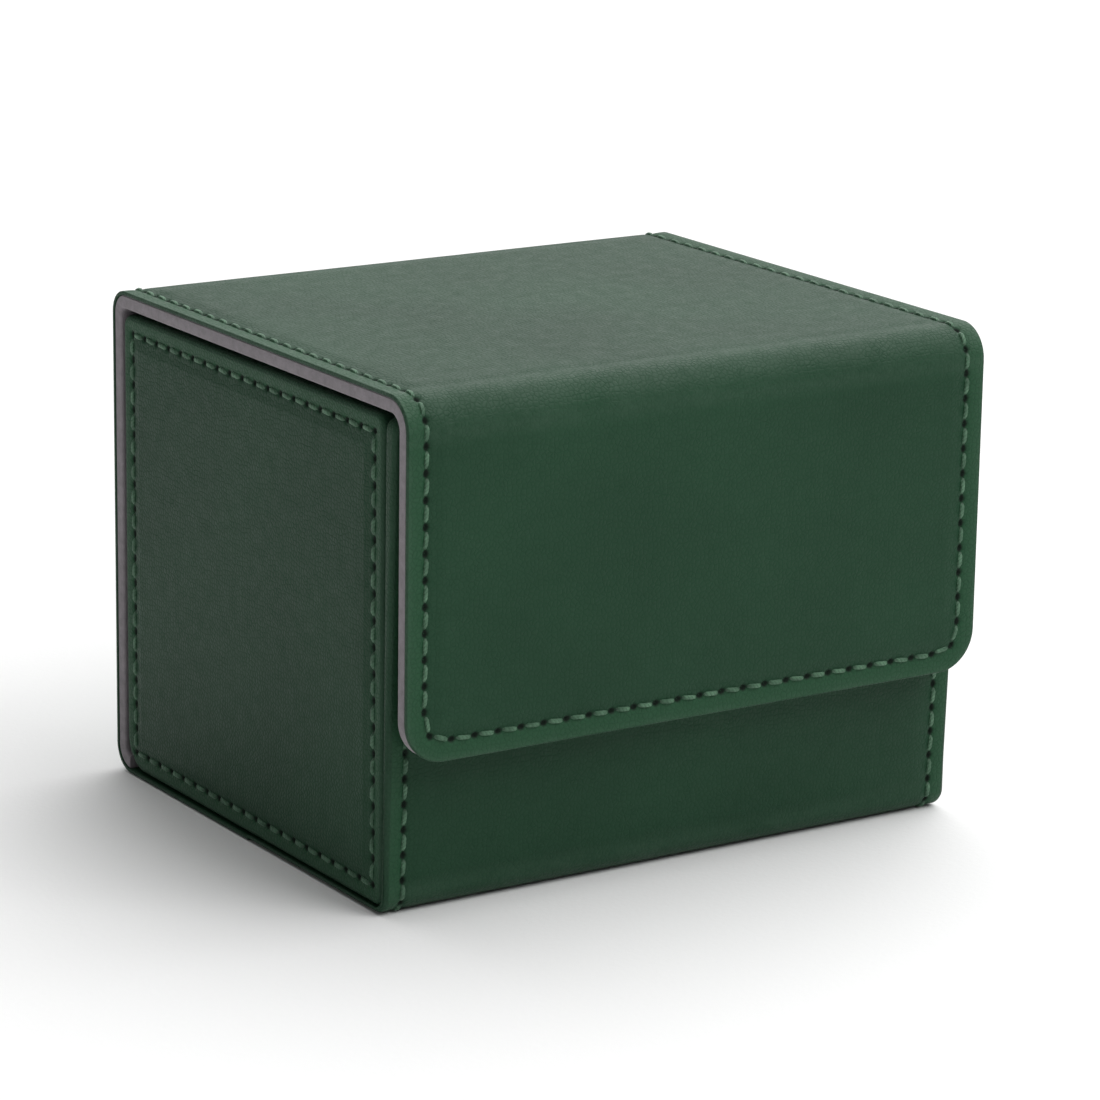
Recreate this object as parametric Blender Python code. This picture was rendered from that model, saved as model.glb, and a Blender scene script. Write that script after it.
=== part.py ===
"""Card deck box: a stitched leather strip folded round a card compartment.

One strip makes the front, bottom, back, lid and flap. Two side panels close the ends.
The lid swings on the rear fold and the flap swings on the soft front bend. Hidden magnets
hold the flap against the front panel.

Frame: +X is right, the flap faces -Y and +Z is up. The origin is on the standing surface
under the middle of the closed box. Units are metres.
"""

import math

import bmesh
import bpy
import numpy as np
from mathutils import Matrix, Vector

# ------------------------------------------------------------------ driving dimensions
WIDTH = 0.104  # across the strip, from raw edge to raw edge
HEIGHT = 0.080  # standing surface to the lid's upper face
BODY_DEPTH = 0.0856  # foot of the front panel to the back
FLAP_STANDOFF = 0.0060  # foot of the front panel to the flap's outer face
FLAP_BOTTOM = 0.0250  # height of the flap's lower edge
FRONT_LEAN = math.radians(1.7)  # the front panel leans out towards the flap

SKIN = 0.0009  # leather thickness
GAP = 0.0003  # between neighbouring pieces
LINING = 0.0018  # lining thickness
BOARD = 0.0010  # stiffening board thickness
COVER = SKIN + GAP + LINING

FRONT_FOOT_RADIUS = 0.0032  # outer fold radii of the strip
BACK_FOOT_RADIUS = 0.0045
REAR_FOLD_RADIUS = 0.0040
FRONT_FOLD_RADIUS = 0.0055
FLAP_CORNER_RADIUS = 0.0065
ARC_STEPS = 6

SIDE_TOP = 0.0762  # the side panels and the front panel end under the lid
SIDE_FOOT = 0.0012
SIDE_FRONT_ROOM = 0.0013  # foot of the front panel to the side panels' front edge
SIDE_CORNER_RADIUS = 0.0020
NOTCH_ROOM = 0.0009  # side panel's foot to the start of the back foot fold
RETURN_STEP = 0.0003  # leather turned round the front panel's edge, in from its face
RETURN_ROOM = 0.0009  # top of the turned leather to the side panel

ROW_INSET = 0.0032  # stitch row to the strip's edge
SIDE_ROW_INSET = 0.0029
GROOVE_WIDTH = 0.0011
GROOVE_DEPTH = 0.0006
THREAD_WIDTH = 0.0005
THREAD_TOP = 0.00005  # depth of the thread's upper face below the leather's
THREAD_FOOT = 0.00035
THREAD_END_ROOM = 0.0006  # thread's end to the fold that it stops at

BOARD_INSET = 0.0070  # board to the strip's edge
BOARD_END_ROOM = 0.0030  # board to the end of its straight stretch
SIDE_BOARD_INSET = 0.0055
THROUGH = 0.0030  # how far a cutter reaches past the piece that it cuts

MAGNET_RADIUS = 0.0050
MAGNET_X = 0.0280
MAGNET_HEIGHT = 0.0370
MAGNET_SEGMENTS = 24
SMOOTH_ANGLE = math.radians(40)  # a magnet's rim stays sharp above this
AXIS_MARK = 0.010  # size at which a hinge line's empty is drawn

# Each hinge line stands out from its fold's centre along Y and along Z, by this share of
# the radius half-way through the cover. pi / 4 keeps the bend's length when it lies flat.
PIVOT_REAR = 0.92
PIVOT_FRONT = math.pi / 4

# ------------------------------------------------------------------ derived places
HALF_WIDTH = WIDTH / 2
FLAP_FRONT = -(BODY_DEPTH + FLAP_STANDOFF) / 2
BODY_FRONT = FLAP_FRONT + FLAP_STANDOFF
BODY_BACK = BODY_FRONT + BODY_DEPTH
ROW_X = HALF_WIDTH - ROW_INSET
SIDE_INNER_X = HALF_WIDTH - COVER
SIDE_FRONT = BODY_FRONT + SIDE_FRONT_ROOM
SIDE_BACK = BODY_BACK - COVER - GAP
BOARD_X = HALF_WIDTH - BOARD_INSET
BOARD_LOW = SKIN + GAP  # the board's outer face, counted in from the leather's face
BOARD_HIGH = BOARD_LOW + BOARD
FOOT_TANGENT = FRONT_FOOT_RADIUS * math.tan((math.pi / 2 - FRONT_LEAN) / 2)
FRONT_LINE = SIDE_TOP / math.cos(FRONT_LEAN) - FOOT_TANGENT
FRONT_HEAD = (BODY_FRONT - SIDE_TOP * math.tan(FRONT_LEAN), SIDE_TOP)
BOTTOM_LINE = BODY_DEPTH - FOOT_TANGENT - BACK_FOOT_RADIUS
BACK_LINE = HEIGHT - BACK_FOOT_RADIUS - REAR_FOLD_RADIUS
LID_LINE = BODY_DEPTH + FLAP_STANDOFF - REAR_FOLD_RADIUS - FRONT_FOLD_RADIUS
FLAP_LINE = HEIGHT - FRONT_FOLD_RADIUS - FLAP_BOTTOM
REAR_CENTRE = (BODY_BACK - REAR_FOLD_RADIUS, HEIGHT - REAR_FOLD_RADIUS)
FRONT_CENTRE = (FLAP_FRONT + FRONT_FOLD_RADIUS, HEIGHT - FRONT_FOLD_RADIUS)
REAR_REACH = (REAR_FOLD_RADIUS - COVER / 2) * PIVOT_REAR
FRONT_REACH = (FRONT_FOLD_RADIUS - COVER / 2) * PIVOT_FRONT
LID_PIVOT = Vector((0, REAR_CENTRE[0] + REAR_REACH, REAR_CENTRE[1] + REAR_REACH))
FLAP_PIVOT = Vector((0, FRONT_CENTRE[0] - FRONT_REACH, FRONT_CENTRE[1] + FRONT_REACH))

DOWN = -math.pi / 2
FRONTWARDS = math.pi
QUARTER = math.pi / 2
EIGHTH = math.pi / 4
LEANING_DOWN = DOWN + FRONT_LEAN

COLOURS = {  # base colour, metallic, roughness
    "leather": ((0.028, 0.072, 0.038), 0.0, 0.45),
    "lining": ((0.150, 0.135, 0.150), 0.0, 0.90),
    "board": ((0.330, 0.310, 0.270), 0.0, 0.85),
    "magnet": ((0.600, 0.600, 0.580), 1.0, 0.30),
    "thread": ((0.070, 0.150, 0.090), 0.0, 0.60),
}


# ------------------------------------------------------------------ helpers
def clear_scene():
    for obj in list(bpy.data.objects):
        bpy.data.objects.remove(obj, do_unlink=True)


def make_material(name, finish):
    colour, metallic, roughness = COLOURS[finish]
    material = bpy.data.materials.new(name)
    material.use_nodes = True
    shader = material.node_tree.nodes["Principled BSDF"]
    shader.inputs["Base Color"].default_value = (*colour, 1.0)
    shader.inputs["Metallic"].default_value = metallic
    shader.inputs["Roughness"].default_value = roughness
    return material


def make_hinge_axis(name, place, parent=None):
    """An empty on a hinge line. The pieces that swing on it are its children."""
    empty = bpy.data.objects.new(name, None)
    empty.empty_display_size = AXIS_MARK
    bpy.context.scene.collection.objects.link(empty)
    empty.parent = parent
    empty.location = place - parent.location if parent else place
    return empty


def add_object(name, bm, finish, parent=None, hinge=Vector((0, 0, 0))):
    """Close off a bmesh as a named object. Its origin is the hinge line it swings on."""
    bmesh.ops.recalc_face_normals(bm, faces=bm.faces)
    bmesh.ops.translate(bm, verts=bm.verts, vec=-hinge)
    mesh = bpy.data.meshes.new(name)
    bm.to_mesh(mesh)
    bm.free()
    obj = bpy.data.objects.new(name, mesh)
    bpy.context.scene.collection.objects.link(obj)
    if parent:
        obj.parent = parent
    else:
        obj.location = hinge
    if finish:
        mesh.materials.append(make_material(name, finish))
    return obj


def combine(obj, tool, operation):
    """Cut the tool from the object, or join the tool to it, with an exact Boolean."""
    tool.hide_render = True
    tool.display_type = "WIRE"
    modifier = obj.modifiers.new(tool.name, "BOOLEAN")
    modifier.operation = operation
    modifier.solver = "EXACT"
    modifier.object = tool


def unit(angle):
    return np.array((math.cos(angle), math.sin(angle)))


def walk(start, heading, moves):
    """Stations along a path in the YZ plane, each a point and its inward normal.

    A move is (length, 0) for a straight run or (radius, turn) for a left-hand arc.
    """
    point = np.array(start, dtype=float)
    stations = [(point, unit(heading + QUARTER))]
    for size, turn in moves:
        if turn == 0:
            point = point + size * unit(heading)
            stations.append((point, unit(heading + QUARTER)))
            continue
        centre = point + size * unit(heading + QUARTER)
        for step in range(1, ARC_STEPS + 1):
            inward = unit(heading + QUARTER + turn * step / ARC_STEPS)
            stations.append((centre - size * inward, inward))
        heading += turn
        point = stations[-1][0]
    return stations


def sweep(stations, section):
    """Carry a closed section of (x, depth) points along the stations."""
    bm = bmesh.new()
    rings = []
    for point, inward in stations:
        places = [(x, *(point + depth * inward)) for x, depth in section]
        rings.append([bm.verts.new(place) for place in places])
    count = len(section)
    for ring, following in zip(rings, rings[1:]):
        for i in range(count):
            j = (i + 1) % count
            bm.faces.new((ring[i], ring[j], following[j], following[i]))
    bm.faces.new(rings[0])
    bm.faces.new(rings[-1])
    return bm


def slab(outline, plane, low, high):
    """Extrude a closed outline across its plane: "YZ" along X, or "XZ" along Y."""
    bm = bmesh.new()
    rings = []
    for level in (low, high):
        if plane == "YZ":
            places = [(level, y, z) for y, z in outline]
        else:
            places = [(x, level, z) for x, z in outline]
        rings.append([bm.verts.new(place) for place in places])
    count = len(outline)
    for i in range(count):
        j = (i + 1) % count
        bm.faces.new((rings[0][i], rings[0][j], rings[1][j], rings[1][i]))
    bm.faces.new(rings[0])
    bm.faces.new(rings[1])
    return bm


def frame_slab(outer, inner, low, high):
    """A closed frame between two outlines of the same count in YZ, extruded along X."""
    bm = bmesh.new()
    loops = []
    for outline, level in ((outer, low), (outer, high), (inner, high), (inner, low)):
        loops.append([bm.verts.new((level, y, z)) for y, z in outline])
    count = len(outer)
    for k in range(4):
        one, two = loops[k], loops[(k + 1) % 4]
        for i in range(count):
            j = (i + 1) % count
            bm.faces.new((one[i], one[j], two[j], two[i]))
    return bm


def band(half_x, edge_z, head_z, radius, half_width):
    """Outline in XZ of a U-shaped band, its middle line set in from the flap's edges."""
    outer, inner = [], []
    corners = ((-half_x + radius, math.pi, 1.5 * math.pi), (half_x - radius, 1.5 * math.pi, 2 * math.pi))
    outer.append((-half_x - half_width, head_z))
    inner.append((-half_x + half_width, head_z))
    for middle_x, first, last in corners:
        for step in range(ARC_STEPS + 1):
            way = unit(first + (last - first) * step / ARC_STEPS)
            middle = np.array((middle_x, edge_z + radius))
            outer.append(tuple(middle + (radius + half_width) * way))
            inner.append(tuple(middle + (radius - half_width) * way))
    outer.append((half_x + half_width, head_z))
    inner.append((half_x - half_width, head_z))
    return outer + inner[::-1]


def rounded_outline(low_x, high_x, low_z, high_z, radius):
    """Rectangle in XZ whose two lower corners are rounded."""
    points = [(low_x, high_z)]
    corners = ((low_x + radius, math.pi), (high_x - radius, 1.5 * math.pi))
    for middle_x, first in corners:
        for step in range(ARC_STEPS + 1):
            way = unit(first + QUARTER * step / ARC_STEPS)
            points.append((middle_x + radius * way[0], low_z + radius + radius * way[1]))
    points.append((high_x, high_z))
    return points


def rectangle(low_y, high_y, low_z, high_z):
    return [(low_y, low_z), (high_y, low_z), (high_y, high_z), (low_y, high_z)]


# ------------------------------------------------------------------ sections of the strip
def plain_section(half_width, low, high):
    return [(-half_width, low), (half_width, low), (half_width, high), (-half_width, high)]


def skin_section():
    """The leather's section, with a stitch groove near each edge of its outer face."""
    half = GROOVE_WIDTH / 2
    right = [
        (ROW_X - half, 0),
        (ROW_X - half, GROOVE_DEPTH),
        (ROW_X + half, GROOVE_DEPTH),
        (ROW_X + half, 0),
        (HALF_WIDTH, 0),
        (HALF_WIDTH, SKIN),
    ]
    left = [(-x, depth) for x, depth in reversed(right)]
    return left + right


def lining_section():
    return plain_section(HALF_WIDTH, SKIN + GAP, COVER)


def thread_section(side):
    middle = side * ROW_X
    half = THREAD_WIDTH / 2
    return [
        (middle - half, THREAD_TOP),
        (middle + half, THREAD_TOP),
        (middle + half, THREAD_FOOT),
        (middle - half, THREAD_FOOT),
    ]


# ------------------------------------------------------------------ paths of the strip
def body_path(trim=0.0):
    """Down the leaning front, under the bottom and up the back."""
    head = np.array(FRONT_HEAD) + trim * unit(LEANING_DOWN)
    return walk(
        head,
        LEANING_DOWN,
        [
            (FRONT_LINE - trim, 0),
            (FRONT_FOOT_RADIUS, QUARTER - FRONT_LEAN),
            (BOTTOM_LINE, 0),
            (BACK_FOOT_RADIUS, QUARTER),
            (BACK_LINE - GAP, 0),
        ],
    )


def rear_fold_path():
    return walk((BODY_BACK, REAR_CENTRE[1]), QUARTER, [(REAR_FOLD_RADIUS, QUARTER)])


def lid_path(trim=GAP):
    start = (REAR_CENTRE[0] - trim, HEIGHT)
    return walk(start, FRONTWARDS, [(LID_LINE - 2 * trim, 0)])


def front_fold_path():
    return walk((FRONT_CENTRE[0], HEIGHT), FRONTWARDS, [(FRONT_FOLD_RADIUS, QUARTER)])


def board_stretch(start, heading, length, extra):
    """The part of a straight run that a board covers. Its pocket is larger by extra."""
    trim = BOARD_END_ROOM - extra
    head = np.array(start) + trim * unit(heading)
    return walk(head, heading, [(length - 2 * trim, 0)])


FLAT_RUNS = {
    "front": (FRONT_HEAD, LEANING_DOWN, FRONT_LINE),
    "bottom": ((BODY_FRONT + FOOT_TANGENT, 0), 0, BOTTOM_LINE),
    "back": ((BODY_BACK, BACK_FOOT_RADIUS), QUARTER, BACK_LINE),
    "lid": ((REAR_CENTRE[0], HEIGHT), FRONTWARDS, LID_LINE),
}


# ------------------------------------------------------------------ leather
def front_return(side):
    """The leather turned round the front panel's edge, a wedge that grows upwards."""
    foot_z = FRONT_FOOT_RADIUS
    foot_y = BODY_FRONT - foot_z * math.tan(FRONT_LEAN)
    outline = [
        (foot_y + RETURN_STEP, foot_z),
        (foot_y + SKIN + GAP, foot_z),
        (SIDE_FRONT - RETURN_ROOM, SIDE_TOP - GAP),
        (FRONT_HEAD[0] + RETURN_STEP, SIDE_TOP - GAP),
    ]
    low, high = sorted((side * HALF_WIDTH, side * (HALF_WIDTH - SKIN)))
    return slab(outline, "YZ", low, high)


def make_body_skin():
    skin = add_object("body_skin", sweep(body_path(), skin_section()), "leather")
    for side, word in ((-1, "left"), (1, "right")):
        turned = add_object(f"front_return_{word}", front_return(side), None)
        combine(skin, turned, "UNION")


def make_flap_skin(axis):
    head = FRONT_CENTRE[1] - GAP
    outline = rounded_outline(-HALF_WIDTH, HALF_WIDTH, FLAP_BOTTOM, head, FLAP_CORNER_RADIUS)
    leather = slab(outline, "XZ", FLAP_FRONT, FLAP_FRONT + SKIN)
    skin = add_object("flap_skin", leather, "leather", axis, FLAP_PIVOT)
    row = flap_row(GROOVE_WIDTH / 2, head + SKIN)
    cutter = slab(row, "XZ", FLAP_FRONT - THROUGH, FLAP_FRONT + GROOVE_DEPTH)
    groove = add_object("flap_groove", cutter, None, axis, FLAP_PIVOT)
    combine(skin, groove, "DIFFERENCE")


def flap_row(half_width, head):
    radius = FLAP_CORNER_RADIUS - ROW_INSET
    return band(ROW_X, FLAP_BOTTOM + ROW_INSET, head, radius, half_width)


# ------------------------------------------------------------------ lining
def make_body_lining():
    """Full width up the back. Between the side panels along the front and bottom."""
    lining = add_object("body_lining", sweep(body_path(), lining_section()), "lining")
    reach = (FLAP_FRONT, BODY_BACK - BACK_FOOT_RADIUS)
    margin = rectangle(*reach, -THROUGH, HEIGHT)
    for side, word in ((-1, "left"), (1, "right")):
        low, high = sorted((side * (SIDE_INNER_X - GAP), side * (HALF_WIDTH + THROUGH)))
        cutter = add_object(f"lining_margin_{word}", slab(margin, "YZ", low, high), None)
        combine(lining, cutter, "DIFFERENCE")
    for name in ("front", "bottom", "back"):
        combine(lining, make_pocket(name), "DIFFERENCE")


def make_pocket(name, parent=None, hinge=Vector((0, 0, 0))):
    """A shallow pocket in the lining's outer face that a board sits in."""
    stretch = board_stretch(*FLAT_RUNS[name], GAP)
    section = plain_section(BOARD_X + GAP, GAP, BOARD_HIGH + GAP)
    return add_object(f"{name}_pocket", sweep(stretch, section), None, parent, hinge)


def make_lid_lining(axis):
    lining = add_object("lid_lining", sweep(lid_path(), lining_section()), "lining", axis, LID_PIVOT)
    combine(lining, make_pocket("lid", axis, LID_PIVOT), "DIFFERENCE")


def make_flap_lining(axis):
    head = FRONT_CENTRE[1] - GAP
    outline = rounded_outline(-HALF_WIDTH, HALF_WIDTH, FLAP_BOTTOM, head, FLAP_CORNER_RADIUS)
    sheet = slab(outline, "XZ", FLAP_FRONT + SKIN + GAP, FLAP_FRONT + COVER)
    lining = add_object("flap_lining", sheet, "lining", axis, FLAP_PIVOT)
    cutter = slab(flap_board_outline(GAP), "XZ", FLAP_FRONT, FLAP_FRONT + BOARD_HIGH + GAP)
    pocket = add_object("flap_pocket", cutter, None, axis, FLAP_PIVOT)
    combine(lining, pocket, "DIFFERENCE")


# ------------------------------------------------------------------ boards and magnets
def flap_board_outline(extra):
    low = FLAP_BOTTOM + BOARD_INSET - extra
    high = FRONT_CENTRE[1] - BOARD_END_ROOM + extra
    return rectangle(-BOARD_X - extra, BOARD_X + extra, low, high)


def make_strip_board(name, parent=None, hinge=Vector((0, 0, 0))):
    stretch = board_stretch(*FLAT_RUNS[name], 0)
    section = plain_section(BOARD_X, BOARD_LOW, BOARD_HIGH)
    return add_object(f"{name}_board", sweep(stretch, section), "board", parent, hinge)


def make_flap_board(axis):
    sheet = slab(flap_board_outline(0), "XZ", FLAP_FRONT + BOARD_LOW, FLAP_FRONT + BOARD_HIGH)
    return add_object("flap_board", sheet, "board", axis, FLAP_PIVOT)


def disc(centre, lean, radius, thickness):
    """A round disc whose axis lies along Y, leaned about X."""
    turn = Matrix.Translation(centre) @ Matrix.Rotation(QUARTER + lean, 4, "X")
    bm = bmesh.new()
    bmesh.ops.create_cone(
        bm,
        cap_ends=True,
        segments=MAGNET_SEGMENTS,
        radius1=radius,
        radius2=radius,
        depth=thickness,
        matrix=turn,
    )
    return bm


def add_magnets(label, board, middle_y, lean, parent=None, hinge=Vector((0, 0, 0))):
    """Two magnets, each in a round hole through the board."""
    for side, word in ((-1, "left"), (1, "right")):
        centre = Vector((side * MAGNET_X, middle_y, MAGNET_HEIGHT))
        hole = disc(centre, lean, MAGNET_RADIUS + GAP, THROUGH)
        cutter = add_object(f"{label}_magnet_hole_{word}", hole, None, parent, hinge)
        combine(board, cutter, "DIFFERENCE")
        body = disc(centre, lean, MAGNET_RADIUS, BOARD)
        magnet = add_object(f"{label}_magnet_{word}", body, "magnet", parent, hinge)
        magnet.data.shade_smooth()
        magnet.data.set_sharp_from_angle(angle=SMOOTH_ANGLE)


def make_front_magnets(board):
    middle = (BOARD_LOW + BOARD_HIGH) / 2
    face_y = BODY_FRONT - MAGNET_HEIGHT * math.tan(FRONT_LEAN)
    add_magnets("front", board, face_y + middle / math.cos(FRONT_LEAN), FRONT_LEAN)


def make_flap_magnets(board, axis):
    middle = (BOARD_LOW + BOARD_HIGH) / 2
    add_magnets("flap", board, FLAP_FRONT + middle, 0.0, axis, FLAP_PIVOT)


# ------------------------------------------------------------------ side panels
def side_outline():
    """Outline in YZ, notched at the back foot where the strip's lining turns under."""
    centre = np.array((SIDE_FRONT + SIDE_CORNER_RADIUS, SIDE_FOOT + SIDE_CORNER_RADIUS))
    turn_y = BODY_BACK - BACK_FOOT_RADIUS
    turn_z = BACK_FOOT_RADIUS
    clear = BACK_FOOT_RADIUS - COVER - GAP
    corner = [
        (turn_y - NOTCH_ROOM, SIDE_FOOT),
        (turn_y - GAP, turn_z - clear),
        (turn_y + clear * math.sin(EIGHTH), turn_z - clear * math.sin(EIGHTH)),
        (SIDE_BACK - GAP / 2, turn_z),
    ]
    head = [(SIDE_BACK - GAP / 2, SIDE_TOP), (SIDE_FRONT, SIDE_TOP)]
    steps = [math.pi + QUARTER * step / ARC_STEPS for step in range(ARC_STEPS + 1)]
    foot = [tuple(centre + SIDE_CORNER_RADIUS * unit(angle)) for angle in steps]
    return corner + head + foot


def side_rectangle(inset):
    low_y, high_y = SIDE_FRONT + inset, SIDE_BACK - inset
    return rectangle(low_y, high_y, SIDE_FOOT + inset, SIDE_TOP - inset)


def side_layer(side, low, high):
    """The X span of a layer, counted in from the side panel's outer face."""
    return sorted((side * (HALF_WIDTH - low), side * (HALF_WIDTH - high)))


def side_row(side, half_width, low, high):
    outer = side_rectangle(SIDE_ROW_INSET - half_width)
    inner = side_rectangle(SIDE_ROW_INSET + half_width)
    return frame_slab(outer, inner, *side_layer(side, low, high))


def make_side_panel(side, word):
    outline = side_outline()
    leather = slab(outline, "YZ", *side_layer(side, 0, SKIN))
    skin = add_object(f"{word}_side_skin", leather, "leather")
    cutter = side_row(side, GROOVE_WIDTH / 2, -THROUGH, GROOVE_DEPTH)
    combine(skin, add_object(f"{word}_side_groove", cutter, None), "DIFFERENCE")

    sheet = slab(outline, "YZ", *side_layer(side, SKIN + GAP, COVER))
    lining = add_object(f"{word}_side_lining", sheet, "lining")
    room = side_rectangle(SIDE_BOARD_INSET - GAP)
    cutter = slab(room, "YZ", *side_layer(side, 0, BOARD_HIGH + GAP))
    combine(lining, add_object(f"{word}_side_pocket", cutter, None), "DIFFERENCE")

    plate = slab(side_rectangle(SIDE_BOARD_INSET), "YZ", *side_layer(side, BOARD_LOW, BOARD_HIGH))
    add_object(f"{word}_side_board", plate, "board")
    thread = side_row(side, THREAD_WIDTH / 2, THREAD_TOP, THREAD_FOOT)
    add_object(f"{word}_side_stitch", thread, "thread")


# ------------------------------------------------------------------ assembly
def make_body():
    make_body_skin()
    make_body_lining()
    front_board = make_strip_board("front")
    make_strip_board("bottom")
    make_strip_board("back")
    make_front_magnets(front_board)
    for side, word in ((-1, "left"), (1, "right")):
        make_side_panel(side, word)
        stitch = sweep(body_path(trim=ROW_INSET), thread_section(side))
        add_object(f"body_stitch_{word}", stitch, "thread")


def make_folds(lid_axis):
    """The rear fold stays with the body and the front fold with the lid."""
    rear, front = rear_fold_path(), front_fold_path()
    add_object("rear_fold_skin", sweep(rear, skin_section()), "leather")
    add_object("rear_fold_lining", sweep(rear, lining_section()), "lining")
    add_object("front_fold_skin", sweep(front, skin_section()), "leather", lid_axis, LID_PIVOT)
    add_object("front_fold_lining", sweep(front, lining_section()), "lining", lid_axis, LID_PIVOT)


def make_lid(axis):
    add_object("lid_skin", sweep(lid_path(), skin_section()), "leather", axis, LID_PIVOT)
    make_lid_lining(axis)
    make_strip_board("lid", axis, LID_PIVOT)
    for side, word in ((-1, "left"), (1, "right")):
        stitch = sweep(lid_path(THREAD_END_ROOM), thread_section(side))
        add_object(f"lid_stitch_{word}", stitch, "thread", axis, LID_PIVOT)


def make_flap(axis):
    make_flap_skin(axis)
    make_flap_lining(axis)
    board = make_flap_board(axis)
    make_flap_magnets(board, axis)
    row = flap_row(THREAD_WIDTH / 2, FRONT_CENTRE[1] - THREAD_END_ROOM)
    thread = slab(row, "XZ", FLAP_FRONT + THREAD_TOP, FLAP_FRONT + THREAD_FOOT)
    add_object("flap_stitch", thread, "thread", axis, FLAP_PIVOT)


def main():
    clear_scene()
    lid_axis = make_hinge_axis("lid_axis", LID_PIVOT)
    flap_axis = make_hinge_axis("flap_axis", FLAP_PIVOT, lid_axis)
    make_body()
    make_folds(lid_axis)
    make_lid(lid_axis)
    make_flap(flap_axis)


main()
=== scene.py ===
"""Finished surfaces of a stitched leather deck box: leather, lining, thread, board and magnets.

Every piece is a surface over two parameters. The long strip is laid out flat, with u across
it and s along it, given its hems, stitch holes and edges, and then bent round the box.
Units are metres. +X is right, the flap faces -Y and +Z is up.
"""

import math

import bpy
import numpy as np
from bpy.props import FloatProperty, FloatVectorProperty, PointerProperty
from bpy.types import Operator, Panel, PropertyGroup
from mathutils import Matrix, Vector


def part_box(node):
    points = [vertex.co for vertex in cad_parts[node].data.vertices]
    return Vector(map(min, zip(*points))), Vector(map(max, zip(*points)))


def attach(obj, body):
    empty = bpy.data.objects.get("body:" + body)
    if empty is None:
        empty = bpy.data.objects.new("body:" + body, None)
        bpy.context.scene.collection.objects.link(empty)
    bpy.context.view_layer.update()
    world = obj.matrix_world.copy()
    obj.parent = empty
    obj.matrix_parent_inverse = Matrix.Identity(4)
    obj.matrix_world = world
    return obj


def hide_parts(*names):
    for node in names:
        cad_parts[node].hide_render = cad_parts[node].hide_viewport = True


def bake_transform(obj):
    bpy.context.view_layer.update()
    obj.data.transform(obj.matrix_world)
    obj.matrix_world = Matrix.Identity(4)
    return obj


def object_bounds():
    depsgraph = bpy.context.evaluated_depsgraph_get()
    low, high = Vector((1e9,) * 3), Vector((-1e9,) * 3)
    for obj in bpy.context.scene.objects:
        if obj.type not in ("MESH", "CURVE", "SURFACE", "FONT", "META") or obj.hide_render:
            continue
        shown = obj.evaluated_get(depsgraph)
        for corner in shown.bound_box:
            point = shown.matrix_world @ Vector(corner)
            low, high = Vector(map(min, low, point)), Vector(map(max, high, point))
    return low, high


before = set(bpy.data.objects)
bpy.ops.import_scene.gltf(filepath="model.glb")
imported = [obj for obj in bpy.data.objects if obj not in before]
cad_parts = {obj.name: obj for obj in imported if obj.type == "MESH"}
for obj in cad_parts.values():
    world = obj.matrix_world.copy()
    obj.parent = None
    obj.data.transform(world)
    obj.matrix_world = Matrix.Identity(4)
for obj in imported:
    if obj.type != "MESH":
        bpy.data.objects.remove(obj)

bl_info = {
    "name": "Stitched Deck Box",
    "version": (1, 0, 0),
    "blender": (4, 5, 0),
    "location": "3D View > Sidebar > Deck Box",
    "description": "Builds the leather, lining, stitching and studio of a card deck box",
    "category": "Object",
}

MM = 0.001
QUARTER = math.pi / 2
EIGHTH = math.pi / 4

# ------------------------------------------------------------------ places read from the frame
CAD_LOW, CAD_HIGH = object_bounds()


def span(node):
    """Lowest and highest corner of a frame node, as arrays."""
    low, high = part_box(node)
    return np.array(low), np.array(high)


HALF_WIDTH = CAD_HIGH.x
HEIGHT = CAD_HIGH.z
FLAP_FRONT = CAD_LOW.y
BODY_BACK = CAD_HIGH.y
FLAP_BOTTOM = span("flap_skin")[0][2]
COVER = span("flap_lining")[1][1] - FLAP_FRONT
REAR_RADIUS = BODY_BACK - span("rear_fold_skin")[0][1]
FRONT_RADIUS = span("front_fold_skin")[1][1] - FLAP_FRONT
SIDE_LOW, SIDE_HIGH = span("left_side_skin")
SIDE_TOP = SIDE_HIGH[2]
ROW_X = float(np.mean([corner[0] for corner in span("lid_stitch_right")]))
ROW_INSET = HALF_WIDTH - ROW_X
THREAD_SPACE = float(np.ptp([corner[0] for corner in span("lid_stitch_right")]))
SIDE_ROW_INSET = span("left_side_stitch")[0][1] - SIDE_LOW[1] + THREAD_SPACE / 2
BOARD_X = span("lid_board")[1][0]
SIDE_INNER_X = abs(span("left_side_lining")[1][0])

SIDE_FRONT_ROOM = 0.0013  # foot of the front panel to the side panels' front edge
BODY_FRONT = SIDE_LOW[1] - SIDE_FRONT_ROOM
FRONT_HEAD_Y = span("body_skin")[0][1]
FRONT_LEAN = math.atan2(BODY_FRONT - FRONT_HEAD_Y, SIDE_TOP)
FRONT_FOOT_RADIUS = 0.0032
BACK_FOOT_RADIUS = 0.0045
FLAP_CORNER_RADIUS = 0.0065
HEAD_CORNER_RADIUS = 2 * MM
SIDE_CORNER_RADII = (0.0020, 0.0053, 0.0020, 0.0020)

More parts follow.
